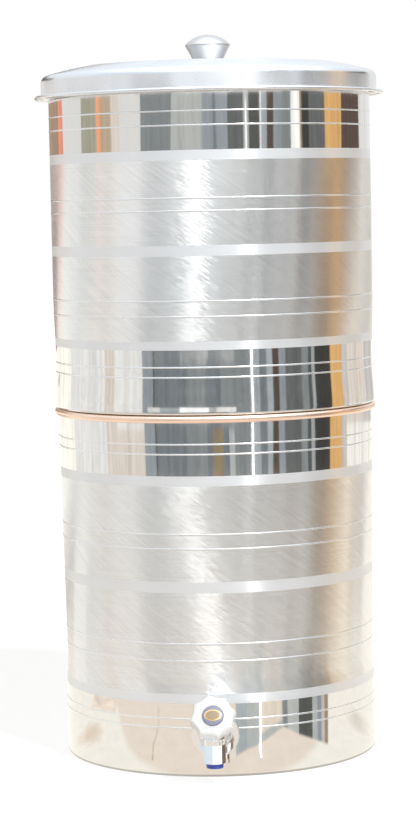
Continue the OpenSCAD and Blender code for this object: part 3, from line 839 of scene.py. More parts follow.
class FILTER_OT_lines(bpy.types.Operator):
    """Raise the pairs of ornamental lines on both drums"""

    bl_idname = "filter.lines"
    bl_label = "Ornamental lines"

    def execute(self, context):
        look = context.scene.filter_drums
        tree = line_tree()
        upper = [(upper_wall(z - LIP_Z), z) for z in UPPER_LINES]
        lower = [(lower_wall(z), z) for z in LOWER_LINES]
        for name, places, body in (("upper_drum_lines", upper, "upper_drum"),
                                   ("lower_drum_lines", lower, "lower_drum")):
            mesh = bpy.data.meshes.new(name)
            mesh.from_pydata([(r * MM, 0, z * MM) for r, z in places], [], [])
            piece = linked(name, mesh)
            modifier = piece.modifiers.new("Lines", "NODES")
            modifier.node_group = tree
            set_inputs(modifier, {"Line Width": look.line_width, "Line Height": look.line_height,
                                  "Finish": line_steel(look.satin)})
            settle(baked(piece), body, "drum_steel")
        return {"FINISHED"}


# ---------- ring, lid and knob ----------


class FILTER_OT_ring(bpy.types.Operator):
    """Build the copper ring on the lower drum's edge"""

    bl_idname = "filter.ring"
    bl_label = "Copper ring"

    def execute(self, context):
        # a round bar with a slot in its underside, which sits on the drum's edge
        inner, outer, top = MOUTH_R - SHEET - SEAT_GAP, MOUTH_R + SEAT_GAP, LOWER_H + RING_SLOT_GAP
        radius = RING_D / 2
        start = math.degrees(math.acos((outer - MOUTH_R) / radius))
        end = math.degrees(math.acos((inner - MOUTH_R) / radius))
        outline = arc((MOUTH_R, RING_Z), radius, -start, 360 - end, 64)
        outline += [(inner, top), (outer, top)]
        ring = turned("copper_ring", [outline], [copper_metal(context.scene.filter_ring.copper)])
        settle(ring, "lower_drum", "ring_copper", "joint_ring")
        return {"FINISHED"}


def lid_outlines():
    """Outlines of the lid's sheet and of the bead at its edge. The shoulder clears the drum's rim."""
    centre_r = CROWN_R - SHOULDER_ARC_R * math.sin(SHOULDER_TILT)
    clear = SHOULDER_ARC_R - SHEET - RIM_BEAD / 2 - LID_GAP
    centre_z = RIM_Z - math.sqrt(clear ** 2 - (RIM_R - centre_r) ** 2)

    def shoulder(r):
        return centre_z + math.sqrt(SHOULDER_ARC_R ** 2 - (r - centre_r) ** 2)

    skirt_top = shoulder(LID_R)
    flange_z = skirt_top - SKIRT_H
    bead_at = LID_R + FLANGE_W - FLANGE_BEAD_R
    crown = [(CROWN_R * i / 16, LID_TOP_Z - CROWN_RISE * (i / 16) ** 2) for i in range(17)]
    slope = [(mix(CROWN_R, LID_R, i / 16), shoulder(mix(CROWN_R, LID_R, i / 16))) for i in range(1, 13)]
    line = rounded([*crown, *slope, (LID_R, skirt_top, SKIRT_CORNER_R),
                    (LID_R, flange_z, FLANGE_FOLD_R), (bead_at - SHEET / 2, flange_z)])
    return [sheet_outline(line, -SHEET), rolled_bead(bead_at, flange_z - SHEET * 0.6, FLANGE_BEAD_R)]


def knob_outline():
    """Outline of the knob: a stem that flares from its foot, a short upright edge and a dome."""
    dome_r = KNOB_R - KNOB_EDGE / 2
    dome_z = KNOB_WIDE_H + KNOB_EDGE
    rise = KNOB_H - dome_z
    ball = (dome_r ** 2 + rise ** 2) / (2 * rise)
    stem = [(mix(KNOB_FOOT_R, KNOB_R, (i / 12) ** KNOB_FLARE), KNOB_WIDE_H * i / 12) for i in range(13)]
    dome = [(dome_r * i / 16, KNOB_H - ball + math.sqrt(ball ** 2 - (dome_r * i / 16) ** 2))
            for i in range(16, -1, -1)]
    outline = [(0, 0), (KNOB_FOOT_R - KNOB_FOOT_BEVEL, 0), (KNOB_FOOT_R, KNOB_FOOT_BEVEL), *stem[1:],
               (KNOB_R, dome_z - KNOB_EDGE / 2), *dome]
    return [(r, z + LID_TOP_Z) for r, z in outline]


class FILTER_OT_lid(bpy.types.Operator):
    """Build the pressed lid and its turned knob"""

    bl_idname = "filter.lid"
    bl_label = "Lid and knob"

    def execute(self, context):
        look = context.scene.filter_lid
        lid = turned("pressed_lid", lid_outlines(), [lid_steel(look.steel)])
        settle(lid, "lid", "lid_steel", "lid")
        knob = turned("turned_knob", [knob_outline()], [knob_metal(look.knob)], steps=128)
        settle(knob, "lid", "knob_metal", "lid_knob")
        return {"FINISHED"}


# ---------- tap ----------


def star_radius(tips, dip):
    """Radius of the star handle at an angle, with shallow hollows between its tips."""
    half = math.pi / tips
    near = HANDLE_D / 2 * math.cos(half) - (HANDLE_D / 2 - dip)
    side = HANDLE_D / 2 * math.sin(half)
    cut = (near ** 2 + side ** 2) / (2 * near)
    centre = HANDLE_D / 2 - dip + cut

    def radius(turn):
        away = (turn - HANDLE_TURN + half) % (2 * half) - half
        return centre * math.cos(away) - math.sqrt(cut ** 2 - (centre * math.sin(away)) ** 2)

    return radius


def polygon_radius(sides, width, most=math.inf):
    """Radius at an angle of a regular polygon that has a flat at angle 0, from its width across the
    flats. Its corners may be cut to a largest radius."""
    part = math.pi / sides

    def radius(turn):
        away = (turn + part) % (2 * part) - part
        return min(width / 2 / math.cos(away), most)

    return radius


def less(shape, inset):
    """The shape's radius at an angle, less an inset."""
    return lambda turn: shape(turn) - inset


def tap_casting(plate):
    """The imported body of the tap, with its sharp joints softened as in a casting."""
    mesh = FRAME["nodes"]["tap_body"].data.copy()
    mesh.materials.clear()
    mesh.materials.append(plate)
    work = bmesh.new()
    work.from_mesh(mesh)
    bmesh.ops.remove_doubles(work, verts=work.verts, dist=1e-6)
    work.to_mesh(mesh)
    work.free()
    body = linked("tap_casting", mesh)
    skin = body.modifiers.new("Skin", "REMESH")
    skin.mode = "VOXEL"
    skin.voxel_size = 0.4 * MM
    soften = body.modifiers.new("Cast corners", "SMOOTH")
    soften.factor = 0.5
    soften.iterations = 10
    return baked(body)


def bonnet_outline():
    """Outline of the bonnet: its thread, a six-sided nut with bevelled corners, and the gland's rim."""
    full = polygon_radius(6, HEX_W)
    cut = polygon_radius(6, HEX_W, HEX_W / math.sqrt(3) - HEX_CORNER_CUT)
    nut_end = HEX_S + HEX_H
    end = nut_end + GLAND_H
    return [(BONNET_BORE_R, BONNET_S), (BONNET_THREAD_R, BONNET_S), (BONNET_THREAD_R, HEX_S),
            (cut, HEX_S), (full, HEX_S + HEX_BEVEL), (full, nut_end - HEX_BEVEL), (cut, nut_end),
            (GLAND_R, nut_end), (GLAND_R, end - GLAND_BEVEL), (GLAND_R - GLAND_BEVEL, end),
            (BONNET_BORE_R, end)]


def nozzle_outline():
    """Outline of the spout's nozzle, a short tube with rounded edges at its foot."""
    within, without = NOZZLE_INNER_CORNER_R, NOZZLE_CORNER_R
    return [(NOZZLE_BORE_R, within),
            *arc((NOZZLE_BORE_R + within, within), within, 180, 270, 4)[1:],
            *arc((NOZZLE_R - without, without), without, 270, 360, 6),
            (NOZZLE_R, NOZZLE_L), (NOZZLE_BORE_R, NOZZLE_L)]


class FILTER_OT_tap(bpy.types.Operator):
    """Build the tap's plated body, bonnet and nozzle"""

    bl_idname = "filter.tap"
    bl_label = "Tap"

    def execute(self, context):
        look = context.scene.filter_tap
        plate = chrome_metal(look.chrome)
        settle(tap_casting(plate), "lower_drum", "tap_chrome", "tap_body")
        bonnet = turned("tap_bonnet_nut", [bonnet_outline()], [plate], place=SPINDLE, steps=96, sharp=25)
        settle(bonnet, "lower_drum", "tap_chrome", "tap_bonnet")
        place = Matrix.Translation(Vector((0, -SPOUT_Y, SPOUT_FOOT_Z)) * MM)
        nozzle = turned("spout_nozzle", [nozzle_outline()], [nozzle_plastic(look.nozzle)],
                        place=place, steps=96)
        settle(nozzle, "lower_drum", "nozzle_blue", "tap_nozzle")
        return {"FINISHED"}


def handle_outline(star):
    """Outline of the handle: a hollow back round the hub, a star rim with a rounded brow, and a face
    with a pocket for the cap, a seat for the screw and a square socket for the spindle."""
    socket = polygon_radius(4, SOCKET_W)
    low = HANDLE_T - HANDLE_BROW
    brow = [(less(star, HANDLE_BROW * (1 - math.cos(t))), low + HANDLE_BROW * math.sin(t))
            for t in [math.radians(15 * k) for k in range(7)]]
    return [(socket, 0), (HUB_R, 0), (HUB_R, HOLLOW_H), (HOLLOW_R, HOLLOW_H), (HOLLOW_R, 0),
            (less(star, HANDLE_EDGE), 0), (less(star, HANDLE_EDGE * 0.3), HANDLE_EDGE * 0.3),
            (star, HANDLE_EDGE), *brow, *[(r, HANDLE_T - depth) for r, depth in CAP_RIDGE],
            (CAP_POCKET_R, CAP_POCKET_H), (SCREW_HEAD_R, CAP_POCKET_H), (SCREW_HEAD_R, SCREW_SEAT_H),
            (SCREW_R, SCREW_SEAT_H), (SCREW_R, SOCKET_H), (socket, SOCKET_H)]


def cap_dome(r):
    """Height of the cap's face above the handle's back, at a distance from its middle."""
    return CAP_LOW + CAP_DEPTH + CAP_PROUD - CAP_DOME * (r / CAP_R) ** 2


def cap_outline():
    """Outline of the cap: a short plug and a domed face with a rounded edge."""
    side = CAP_LOW + CAP_DEPTH
    crown = [(CAP_R - CAP_DOME_IN) * i / 24 for i in range(24, -1, -1)]
    return [(0, CAP_LOW), (CAP_R, CAP_LOW), (CAP_R, side), (CAP_R - CAP_CORNER_IN, side + CAP_CORNER_UP),
            *[(r, cap_dome(r)) for r in crown]]


def oval_layer(name, far, near, proud, finish, place):
    """A thin closed layer on the cap's dome between two ovals, given by their half widths."""
    def height(r):
        return cap_dome(r) + proud

    reaches = [mix(far, near, i / 6) for i in range(7)]
    line = [(r, height(r)) for r in reaches] + [(r, height(r) - OVAL_T) for r in reaches[::-1]]
    layer = turned(name, [line], [finish], steps=96)
    for vertex in layer.data.vertices:
        before = vertex.co.xy.length / MM
        vertex.co.y *= OVAL_SHARE
        vertex.co.z += (height(vertex.co.xy.length / MM) - height(before)) * MM
    layer.data.transform(place)
    return layer


class FILTER_OT_handle(bpy.types.Operator):
    """Build the star handle and the cap in its face"""

    bl_idname = "filter.handle"
    bl_label = "Star handle"

    def execute(self, context):
        look = context.scene.filter_tap
        place = SPINDLE @ Matrix.Translation((0, 0, HANDLE_S * MM))
        star = star_radius(look.tips, look.dip / MM)
        handle = turned("star_handle", [handle_outline(star)], [handle_plastic(look.handle)],
                        place=place, steps=384)
        settle(handle, "handle", "handle_white", "tap_handle")
        cap = turned("handle_cap", [cap_outline()], [cap_plastic(look.cap)], place=place, steps=96)
        settle(cap, "handle", "cap_grey", "tap_handle_cap")
        field = oval_layer("cap_field", FIELD_R, 0.0, FIELD_PROUD, field_print(look.cap_field), place)
        settle(field, "handle", "cap_grey")
        oval = oval_layer("cap_oval", *OVAL_LINE_R, OVAL_LINE_PROUD, foil_gold(look.cap_ring), place)
        settle(oval, "handle", "cap_grey")
        return {"FINISHED"}


# ---------- pieces held inside ----------


class FILTER_OT_inner(bpy.types.Operator):
    """Finish the pieces that the drums and the tap hold inside"""

    bl_idname = "filter.inner"
    bl_label = "Inner pieces"

    def execute(self, context):
        finishes = {
            "candle_plastic": candle_plastic(colour("#ecebe8")),
            "candle_ceramic": candle_ceramic(colour("#efeadd")),
            "seal_rubber": seal_rubber(colour("#26262a")),
            "fastener_steel": plated_steel(colour("#c4c5c6")),
            "brass_parts": brass_metal(colour("#c8ab6a")),
            "drum_steel": inner_steel(context.scene.filter_drums.inside),
        }
        for part in FRAME["record"]["subparts"]:
            node = FRAME["nodes"][part["node"]]
            if part["material_slot"] in finishes and not node.hide_render:
                node.data.materials.clear()
                node.data.materials.append(finishes[part["material_slot"]])
        return {"FINISHED"}


# ---------- stage ----------


# Towards the sun: 35 degrees right of the tap and 50 degrees up
SUN_AT = Vector((0.369, -0.527, 0.766))

# Brightness of a plain reflection card
CARD_GLOW = 1.33
# Heights in metres of the flat cards on the floor, each kind just above the last
GROUND_Z = 0.0006
BLOT_Z = 0.0012
RIBBON_Z = 0.0015
GLARE_Z = 0.002
# Where the floor ahead of the drums changes into the floor beside them, as two y in metres
AHEAD_END = (-0.125, -0.113)
# The painted contact shadow round the drum's foot on the floor, which the steel mirrors, as two radii in
# metres
CONTACT_SHADE = (0.1225, 0.1245)
# Distances in metres of the nearer rings of cards and of the reflector round the spout
LIP_CARDS_R = 0.5
SKIRT_CARDS_R = 0.3
SPOUT_CARDS_R = 0.0125

# The cards' plain paints, grouped from tones that follow mean colours of the photo's stripes
PAINTS = {
    "white": "#fbfbfa",
    "cream": "#f9f6ee",
    "ivory": "#ebe8e2",
    "chalk": "#e1e1df",
    "plaster": "#d9d8d5",
    "sand": "#d6cdc4",
    "stone": "#c2bfbc",
    "ash": "#b1b4b2",
    "mist": "#a4abae",
    "lead": "#92989e",
    "iron": "#828789",
    "slate": "#747a7e",
    "basalt": "#666969",
    "coal": "#575956",
    "soot": "#434240",
    "tar": "#26231f",
    "umber": "#5b4f49",
    "clay": "#a08b7a",
    "rope": "#b9a793",
    "khaki": "#8e7f66",
    "pebble": "#cbc8c4",
    "gravel": "#928c83",
    "straw": "#e8d0ac",
    "olive": "#a4a292",
    "ochre": "#d7ab72",
    "amber": "#f4c080",
    "coral": "#dc9078",
    "apricot": "#eda67c",
}
# Heights of the cards, bottom and top in metres. The top band sees the cards at TOP, the bands at
# the joint see the lower ones, and only the brushed bands see the roofs.
FOOT, MIDDLE, WALL, TOP = (0.03, 0.13), (0.13, 0.40), (0.03, 0.40), (0.40, 0.60)
POST, ROOF, LIP, SKIRT = (0.03, 0.60), (0.64, 0.92), (0.236, 0.277), (0.518, 0.55)
# Upright cards in a ring, which stand for a yard in sunlight and show in reflections alone: first
# and last angle, heights, paint. Most angles, and most outlines on the ground below, were traced
# from the photo's stripes and shapes with the fitted camera and rounded. The names are invented.
YARD = {
    "brown_wall": (-166, -131, TOP, "clay"),
    "coral_door": (-131, -122, TOP, "coral"),
    "olive_hedge": (-98, -81, TOP, "olive"),
    "orange_cloth": (-81, -77, TOP, "apricot"),
    "sand_post": (-77, -69, TOP, "rope"),
    "sand_wall": (-69, -61, TOP, "sand"),
    "white_wall": (-139, -120, MIDDLE, "cream"),
    "white_foot": (-160, -120, FOOT, "cream"),
    "pale_wall": (-120, -80, WALL, "chalk"),
    "sandy_pillar": (-80, -71, WALL, "sand"),
    "cream_wall": (-71, -48, MIDDLE, "chalk"),
    "cream_foot": (-71, -48, FOOT, "sand"),
    "upper_shutter": (-45, -24, TOP, "iron"),
    "shutter_edge": (-48, -40, WALL, "lead"),
    "shutter_gap": (-40, -39, WALL, "coal"),
    "lower_shutter": (-39, -18, WALL, "slate"),
    "pale_awning": (-24, -3, TOP, "ash"),
    "grey_wall": (-18, -3, WALL, "iron"),
    "mauve_wall": (-3, 5, TOP, "lead"),
    "blue_pipe": (5, 7, TOP, "slate"),
    "blue_wall": (7, 15, TOP, "lead"),
    "slate_step": (-3, 6, MIDDLE, "slate"),
    "grey_crate": (-3, 1, FOOT, "slate"),
    "tan_crate": (1, 7, FOOT, "khaki"),
    "grey_step": (6, 15, MIDDLE, "iron"),
    "slate_crate": (7, 11, FOOT, "slate"),
    "blue_crate": (11, 15, FOOT, "ash"),
    "slate_door": (15, 25, TOP, "basalt"),
    "door_foot": (15, 26, WALL, "iron"),
    "upper_post": (25, 29, TOP, "ash"),
    "lower_post": (26, 33, WALL, "mist"),
    "dark_door": (29, 37, TOP, "coal"),
    "grey_door": (33, 38, WALL, "slate"),
    "blue_post": (38, 42, POST, "mist"),
    "brown_door": (42, 47, POST, "umber"),
    "grey_post": (47, 52, POST, "lead"),
    "grey_gate": (52, 59, TOP, "iron"),
    "white_gate": (59, 66.6, TOP, "white"),
    "gate_foot": (52, 65, WALL, "basalt"),
    "gate_edge": (66.6, 68.2, TOP, "clay"),
    "black_gate": (68.2, 74, TOP, "soot"),
    "olive_gate": (74, 88, TOP, "basalt"),
    "olive_step": (65, 70, WALL, "iron"),
    "dark_step": (70, 73, WALL, "coal"),
    "pale_step": (73, 76, WALL, "mist"),
    "black_wall": (76, 90, WALL, "soot"),
    "tan_gable": (88, 106, TOP, "ochre"),
    "tan_foot": (90, 104, WALL, "ochre"),
    "umber_wall": (106, 132, TOP, "umber"),
    "far_post": (104, 110, WALL, "stone"),
    "far_wall": (110, 136, MIDDLE, "sand"),
    "far_foot": (110, 155, FOOT, "ivory"),
    "last_wall": (132, 145, TOP, "plaster"),
    "last_foot": (136, 160, MIDDLE, "stone"),
    "neck_edge": (-172, -146, (0.23, 0.30), "clay"),
    "waist_edge": (-178, -140, (0.31, 0.40), "umber"),
    "left_roof": (-178, -128, ROOF, "umber"),
    "cloud": (-38, -14, ROOF, "white"),
    "near_roof": (34, 56, ROOF, "basalt"),
    "black_roof": (65, 78, ROOF, "tar"),
    "chimney": (78, 80, ROOF, "olive"),
    "grey_roof": (80, 90, ROOF, "soot"),
    "tan_roof": (90, 106, ROOF, "amber"),
    "far_roof": (106, 138, ROOF, "tar"),
}
# Nearer cards that only the lowest 5 mm of the upper drum sees
LIP_CARDS = {
    "lip_left": (-40, -32, LIP, "plaster"),
    "lip_grey": (-32, -20, LIP, "mist"),
    "lip_white": (-20, -1, LIP, "white"),
    "lip_dark": (-1, 3, LIP, "ash"),
    "lip_right": (3, 15, LIP, "chalk"),
}
# Cards nearer still, which only the lid's skirt sees
SKIRT_CARDS = {
    "skirt_left": (-140, -58, SKIRT, "plaster"),
    "skirt_pale": (-58, -40, SKIRT, "chalk"),
    "skirt_grey": (-40, -17, SKIRT, "stone"),
    "skirt_white": (-17, 25, SKIRT, "white"),
    "skirt_right": (25, 44, SKIRT, "ivory"),
    "skirt_dim": (44, 120, SKIRT, "stone"),
}

# Low slanting cards on the ground right of the tap: first angle and radius in metres, then each
# card's end angle, end radius and paint
STREET = (8.7, 0.168, (
    (15, 0.185, "mist"), (20.8, 0.197, "ash"), (28.4, 0.223, "ash"), (37.2, 0.259, "ash"),
    (39.4, 0.250, "iron"), (44.7, 0.218, "ash"), (51, 0.194, "coal"), (53, 0.184, "ash"),
    (54.8, 0.178, "lead"), (56, 0.172, "stone"), (57.6, 0.168, "clay"),
))
STREET_TOP = 0.055
# Ground that only the brushed bands see: first angle, then each end angle and paint
PAVING = (-108, ((56.3, "pebble"), (64.9, "plaster"), (90, "gravel"), (108, "straw")))
PAVING_R = (0.48, 1.45)
# Patches of ground: first and last angle, nearest and farthest radius in metres, colour
PATCHES = {
    "yard_left": (-178, -128, 0.75, 1.45, "#8c8276"),
    "yard_far_right": (108, 132, 0.75, 1.45, "#85776b"),
    "tan_corner": (-92, -68, 0.31, 0.43, "#e9dccf"),
}
# Cloudy blots on the ground: middle and half size in metres, colour
BLOTS = {
    "brown_cloud": ((-0.19, -0.035), (0.06, 0.04), "#dfd0c0"),
    "grey_cloud": ((0.21, 0.01), (0.075, 0.04), "#dbd5cc"),
}
# A crack in the ground left of the tap, and the glare of the sun on the ground right of it
CRACK = ((-0.240, -0.312), (-0.176, -0.250), (-0.133, -0.195), (-0.109, -0.163), (-0.073, -0.131))
CRACK_W = 0.0016
GLARE = ((0.0520, -0.148), (0.0545, -0.147), (0.0975, -0.226), (0.0940, -0.227))
# A reflector close round the spout, so that its chrome shows the sky and not the ground: its cards paint a
# reflection of the sky, a highlight of the sun and a dark band on the right
SPOUT_CARDS_H = (0.005, 0.029)
SPOUT_CARDS = {
    "spout_sky": (-125, -12, "#d3dbe0"),
    "spout_sun": (-12, 58, "#ffffff"),
    "spout_dark_band": (58, 120, "#6f5b50"),
}


def bare_tree(data):
    """The node tree of a new material or world, with nothing in it."""
    data.use_nodes = True
    data.node_tree.nodes.clear()
    return data.node_tree


def by_ray(tree, kind, others, own):
    """One shader for a kind of ray and another for all the others."""
    ray = add(tree, "ShaderNodeLightPath").outputs[kind]
    return add(tree, "ShaderNodeMixShader", {0: ray, 1: others, 2: own}).outputs[0]


def shine_where(tree, code, strength, seen):
    """Ends the tree in a glow that shows where a factor is 1 and is clear where it is 0, or that shows
    everywhere where there is no factor."""
    shine = add(tree, "ShaderNodeEmission", {"Color": (*colour(code), 1), "Strength": strength}).outputs[0]
    if seen is not None:
        clear = add(tree, "ShaderNodeBsdfTransparent").outputs[0]
        shine = add(tree, "ShaderNodeMixShader", {0: seen, 1: clear, 2: shine}).outputs[0]
    add(tree, "ShaderNodeOutputMaterial", {"Surface": shine})


def glow(name, code, strength=CARD_GLOW, fade=0.0):
    """Lit paint with upright streaks and blotches, for the cards that only reflections see.

    It fades out towards the ground where a fade height in metres is given.
    """
    material = bpy.data.materials.new(name)
    tree = bare_tree(material)
    # streaks some 70 mm wide and blotches of some 45 mm
    streaks = noise_on(tree, "Object", 14.0, stretch=(1, 1, 0.12), detail=4.0)
    blotches = noise_on(tree, "Object", 22.0, detail=5.0, rough=0.7)
    both = add(tree, "ShaderNodeMath", {0: streaks, 1: blotches}, operation="ADD").outputs["Value"]
    power = add(tree, "ShaderNodeMapRange", {
        "Value": both, "From Min": 0.6, "From Max": 1.4,
        "To Min": strength * 0.72, "To Max": strength * 1.28}).outputs["Result"]
    seen = None
    if fade:
        place = add(tree, "ShaderNodeTexCoord").outputs["Object"]
        height = add(tree, "ShaderNodeSeparateXYZ", {0: place}).outputs["Z"]
        seen = add(tree, "ShaderNodeMapRange", {"Value": height, "From Max": fade}).outputs["Result"]
    shine_where(tree, code, power, seen)
    return material


def cloudy(name, code):
    """Lit paint with a ragged edge, for the blots on the ground."""
    material = bpy.data.materials.new(name)
    tree = bare_tree(material)
    place = add(tree, "ShaderNodeTexCoord").outputs["Object"]
    out = add(tree, "ShaderNodeVectorMath", {0: place}, operation="LENGTH").outputs["Value"]
    # clouds of about a quarter of the blot
    cloud = noise_on(tree, "Object", 2.2, detail=5.0, rough=0.65)
    ragged = add(tree, "ShaderNodeMath", {0: out, 1: cloud}, operation="ADD").outputs["Value"]
    seen = add(tree, "ShaderNodeMapRange", {"Value": ragged, "From Min": 1.45, "From Max": 0.8})
    shine_where(tree, code, CARD_GLOW, seen.outputs["Result"])
    return material


def reflected(name, points, faces, finish):
    """A mesh that shows in reflections and nowhere else."""
    mesh = bpy.data.meshes.new(name)
    mesh.from_pydata(points, [], faces)
    mesh.materials.append(finish)
    piece = linked(name, mesh)
    piece.visible_camera = False
    piece.visible_diffuse = False
    piece.visible_shadow = False
    piece.visible_transmission = False
    return piece


def round_from(angle, radius, centre_y=0.0):
    """A place on the ground at an angle, counted from -Y towards +X in degrees."""
    turn = math.radians(angle)
    return radius * math.sin(turn), centre_y - radius * math.cos(turn)


def card(name, start, end, heights, radius, code, strength=CARD_GLOW, fade=0.0, centre_y=0.0):
    """A curved upright card between two angles. A pair of radii lets it slant."""
    low, high = heights
    first, last = radius if isinstance(radius, tuple) else (radius, radius)
    # at least two flat stretches, of 4 degrees or a little more where there are more of them
    steps = max(2, int(abs(end - start) / 4))
    points = []
    for k in range(steps + 1):
        x, y = round_from(mix(start, end, k / steps), mix(first, last, k / steps), centre_y)
        points += [(x, y, low), (x, y, high)]
    faces = [(2 * k, 2 * k + 2, 2 * k + 3, 2 * k + 1) for k in range(steps)]
    reflected(name, points, faces, glow(name, code, strength, fade))


def card_ring(cards, radius):
    """A ring of cards at one distance from the axis."""
    for name, (start, end, heights, paint) in cards.items():
        card(name, start, end, heights, radius, PAINTS[paint])


def flat_card(name, places, height, code, strength=CARD_GLOW):
    """A flat card on the ground with its corners at some places."""
    points = [(x, y, height) for x, y in places]
    reflected(name, points, [range(len(points))], glow(name, code, strength))


def ground_sector(name, start, end, near, far, code):
    """A flat patch of ground between two angles and two radii."""
    turns = [mix(start, end, k / 6) for k in range(7)]
    rim = [round_from(t, near) for t in turns] + [round_from(t, far) for t in turns[::-1]]
    flat_card(name, rim, GROUND_Z, code)


def ribbon(name, places, width, code):
    """A thin line on the ground through some places, open at its ends."""
    points = [(x + side, y - side, RIBBON_Z) for x, y in places for side in (-width / 2, width / 2)]
    faces = [(2 * k, 2 * k + 1, 2 * k + 3, 2 * k + 2) for k in range(len(places) - 1)]
    reflected(name, points, faces, glow(name, code))


def blot(name, place, size, code):
    """A cloudy patch of tone on the ground, with a ragged edge."""
    corners = [(-1, -1, 0), (1, -1, 0), (1, 1, 0), (-1, 1, 0)]
    piece = reflected(name, corners, [(0, 1, 2, 3)], cloudy(name, code))
    piece.location = (*place, BLOT_Z)
    piece.scale = (*size, 1)


def yard(look):
    """All that stands and lies round the filter for its steel to mirror."""
    far = look.card_radius
    card_ring(YARD, far)
    card_ring(LIP_CARDS, LIP_CARDS_R)
    card_ring(SKIRT_CARDS, SKIRT_CARDS_R)
    angle, radius, stripes = STREET
    for i, (end, end_radius, paint) in enumerate(stripes):
        card(f"street_{i}", angle, end, (0, STREET_TOP), (radius, end_radius), PAINTS[paint], fade=0.003)
        angle, radius = end, end_radius
    angle, stripes = PAVING
    for i, (end, paint) in enumerate(stripes):
        ground_sector(f"paving_{i}", angle, end, *PAVING_R, PAINTS[paint])
        angle = end
    card("tan_wall", 21.9, 35.9, (0.012, STREET_TOP), (0.194, 0.243), "#dbd0c2", fade=0.016)
    for name, patch in PATCHES.items():
        ground_sector(name, *patch)
    for name, patch in BLOTS.items():
        blot(name, *patch)
    ribbon("crack", CRACK, CRACK_W, "#c6b5a7")
    # the sun's glare on the mirror bands, just in front of the yard
    card("glare_low", 27.2, 27.9, WALL, far - 0.02, "#ffffff", 5.5)
    card("glare_high", 26.3, 27.4, (0.40, 0.56), far - 0.02, "#ffffff", 1.5)
    card("glare_foot", 20.7, 21.5, (0, STREET_TOP), 0.18, "#ffffff", 2.2)
    flat_card("glare_ground", GLARE, GLARE_Z, "#ffffff", 1.9)
    card("lid_sky", -80, 78, (0.94, 1.42), far, "#e2ecf6", 1.06)
    # the spout's cards: a painted reflection and a painted sun highlight on its chrome
    for name, (start, end, code) in SPOUT_CARDS.items():
        card(name, start, end, SPOUT_CARDS_H, SPOUT_CARDS_R, code, centre_y=-SPOUT_Y * MM)


def floor_material(look):
    """Pale floor: white with a soft shadow to the camera, and the ground's tone in reflections, with a
    painted contact shadow round the drum's foot.
    """
    material, tree, shader = new_material("pale_floor", look.floor, roughness=0.9)
    # faint patches of some 170 mm
    dress(tree, shader, look.floor, noise_on(tree, "Object", 6.0), shade=(0.97, 1.02))
    white = add(tree, "ShaderNodeEmission", {"Color": (1, 1, 1, 1), "Strength": 1.25})
    soft = add(tree, "ShaderNodeMixShader", {0: 0.66, 1: shader.outputs[0], 2: white.outputs[0]})
    # the ground in front of the drum is warmer than the ground beside it
    place = add(tree, "ShaderNodeTexCoord").outputs["Object"]
    back = add(tree, "ShaderNodeVectorMath", {0: place, 1: (-0.05, 1, 0)}, operation="DOT_PRODUCT")
    beside_it = add(tree, "ShaderNodeMapRange", {
        "Value": back.outputs["Value"], "From Min": AHEAD_END[0], "From Max": AHEAD_END[1]})
    tone = add(tree, "ShaderNodeMix", {
        "Factor": beside_it.outputs["Result"], 6: (*look.ground, 1), 7: (*look.pale, 1)}, data_type="RGBA")
    # and a painted contact shadow darkens it where the drum stands on it
    out = add(tree, "ShaderNodeVectorMath", {0: place}, operation="LENGTH").outputs["Value"]
    painted_foot_shade = add(tree, "ShaderNodeMapRange", {
        "Value": out, "From Min": CONTACT_SHADE[0], "From Max": CONTACT_SHADE[1], "To Min": 0.75, "To Max": 1.36})
    # clouds of some 30 mm
    cloud = add(tree, "ShaderNodeMapRange", {
        "Value": noise_on(tree, "Object", 34.0, detail=4.0, rough=0.6), "To Min": 0.9, "To Max": 1.1})
    power = add(tree, "ShaderNodeMath", {0: painted_foot_shade.outputs["Result"], 1: cloud.outputs["Result"]},
                operation="MULTIPLY")
    ground = add(tree, "ShaderNodeEmission", {"Color": tone.outputs[2], "Strength": power.outputs["Value"]})
    seen = by_ray(tree, "Is Camera Ray", shader.outputs[0], soft.outputs[0])
    both = by_ray(tree, "Is Glossy Ray", seen, ground.outputs[0])
    tree.links.new(both, tree.nodes["Material Output"].inputs["Surface"])
    return material


def set_floor(look):
    """A floor that reaches 12 m each way."""
    reach = 12.0
    mesh = bpy.data.meshes.new("floor")
    mesh.from_pydata([(-reach, -reach, 0), (reach, -reach, 0), (reach, reach, 0), (-reach, reach, 0)],
                     [], [(0, 1, 2, 3)])
    mesh.materials.append(floor_material(look))
    linked("floor", mesh)


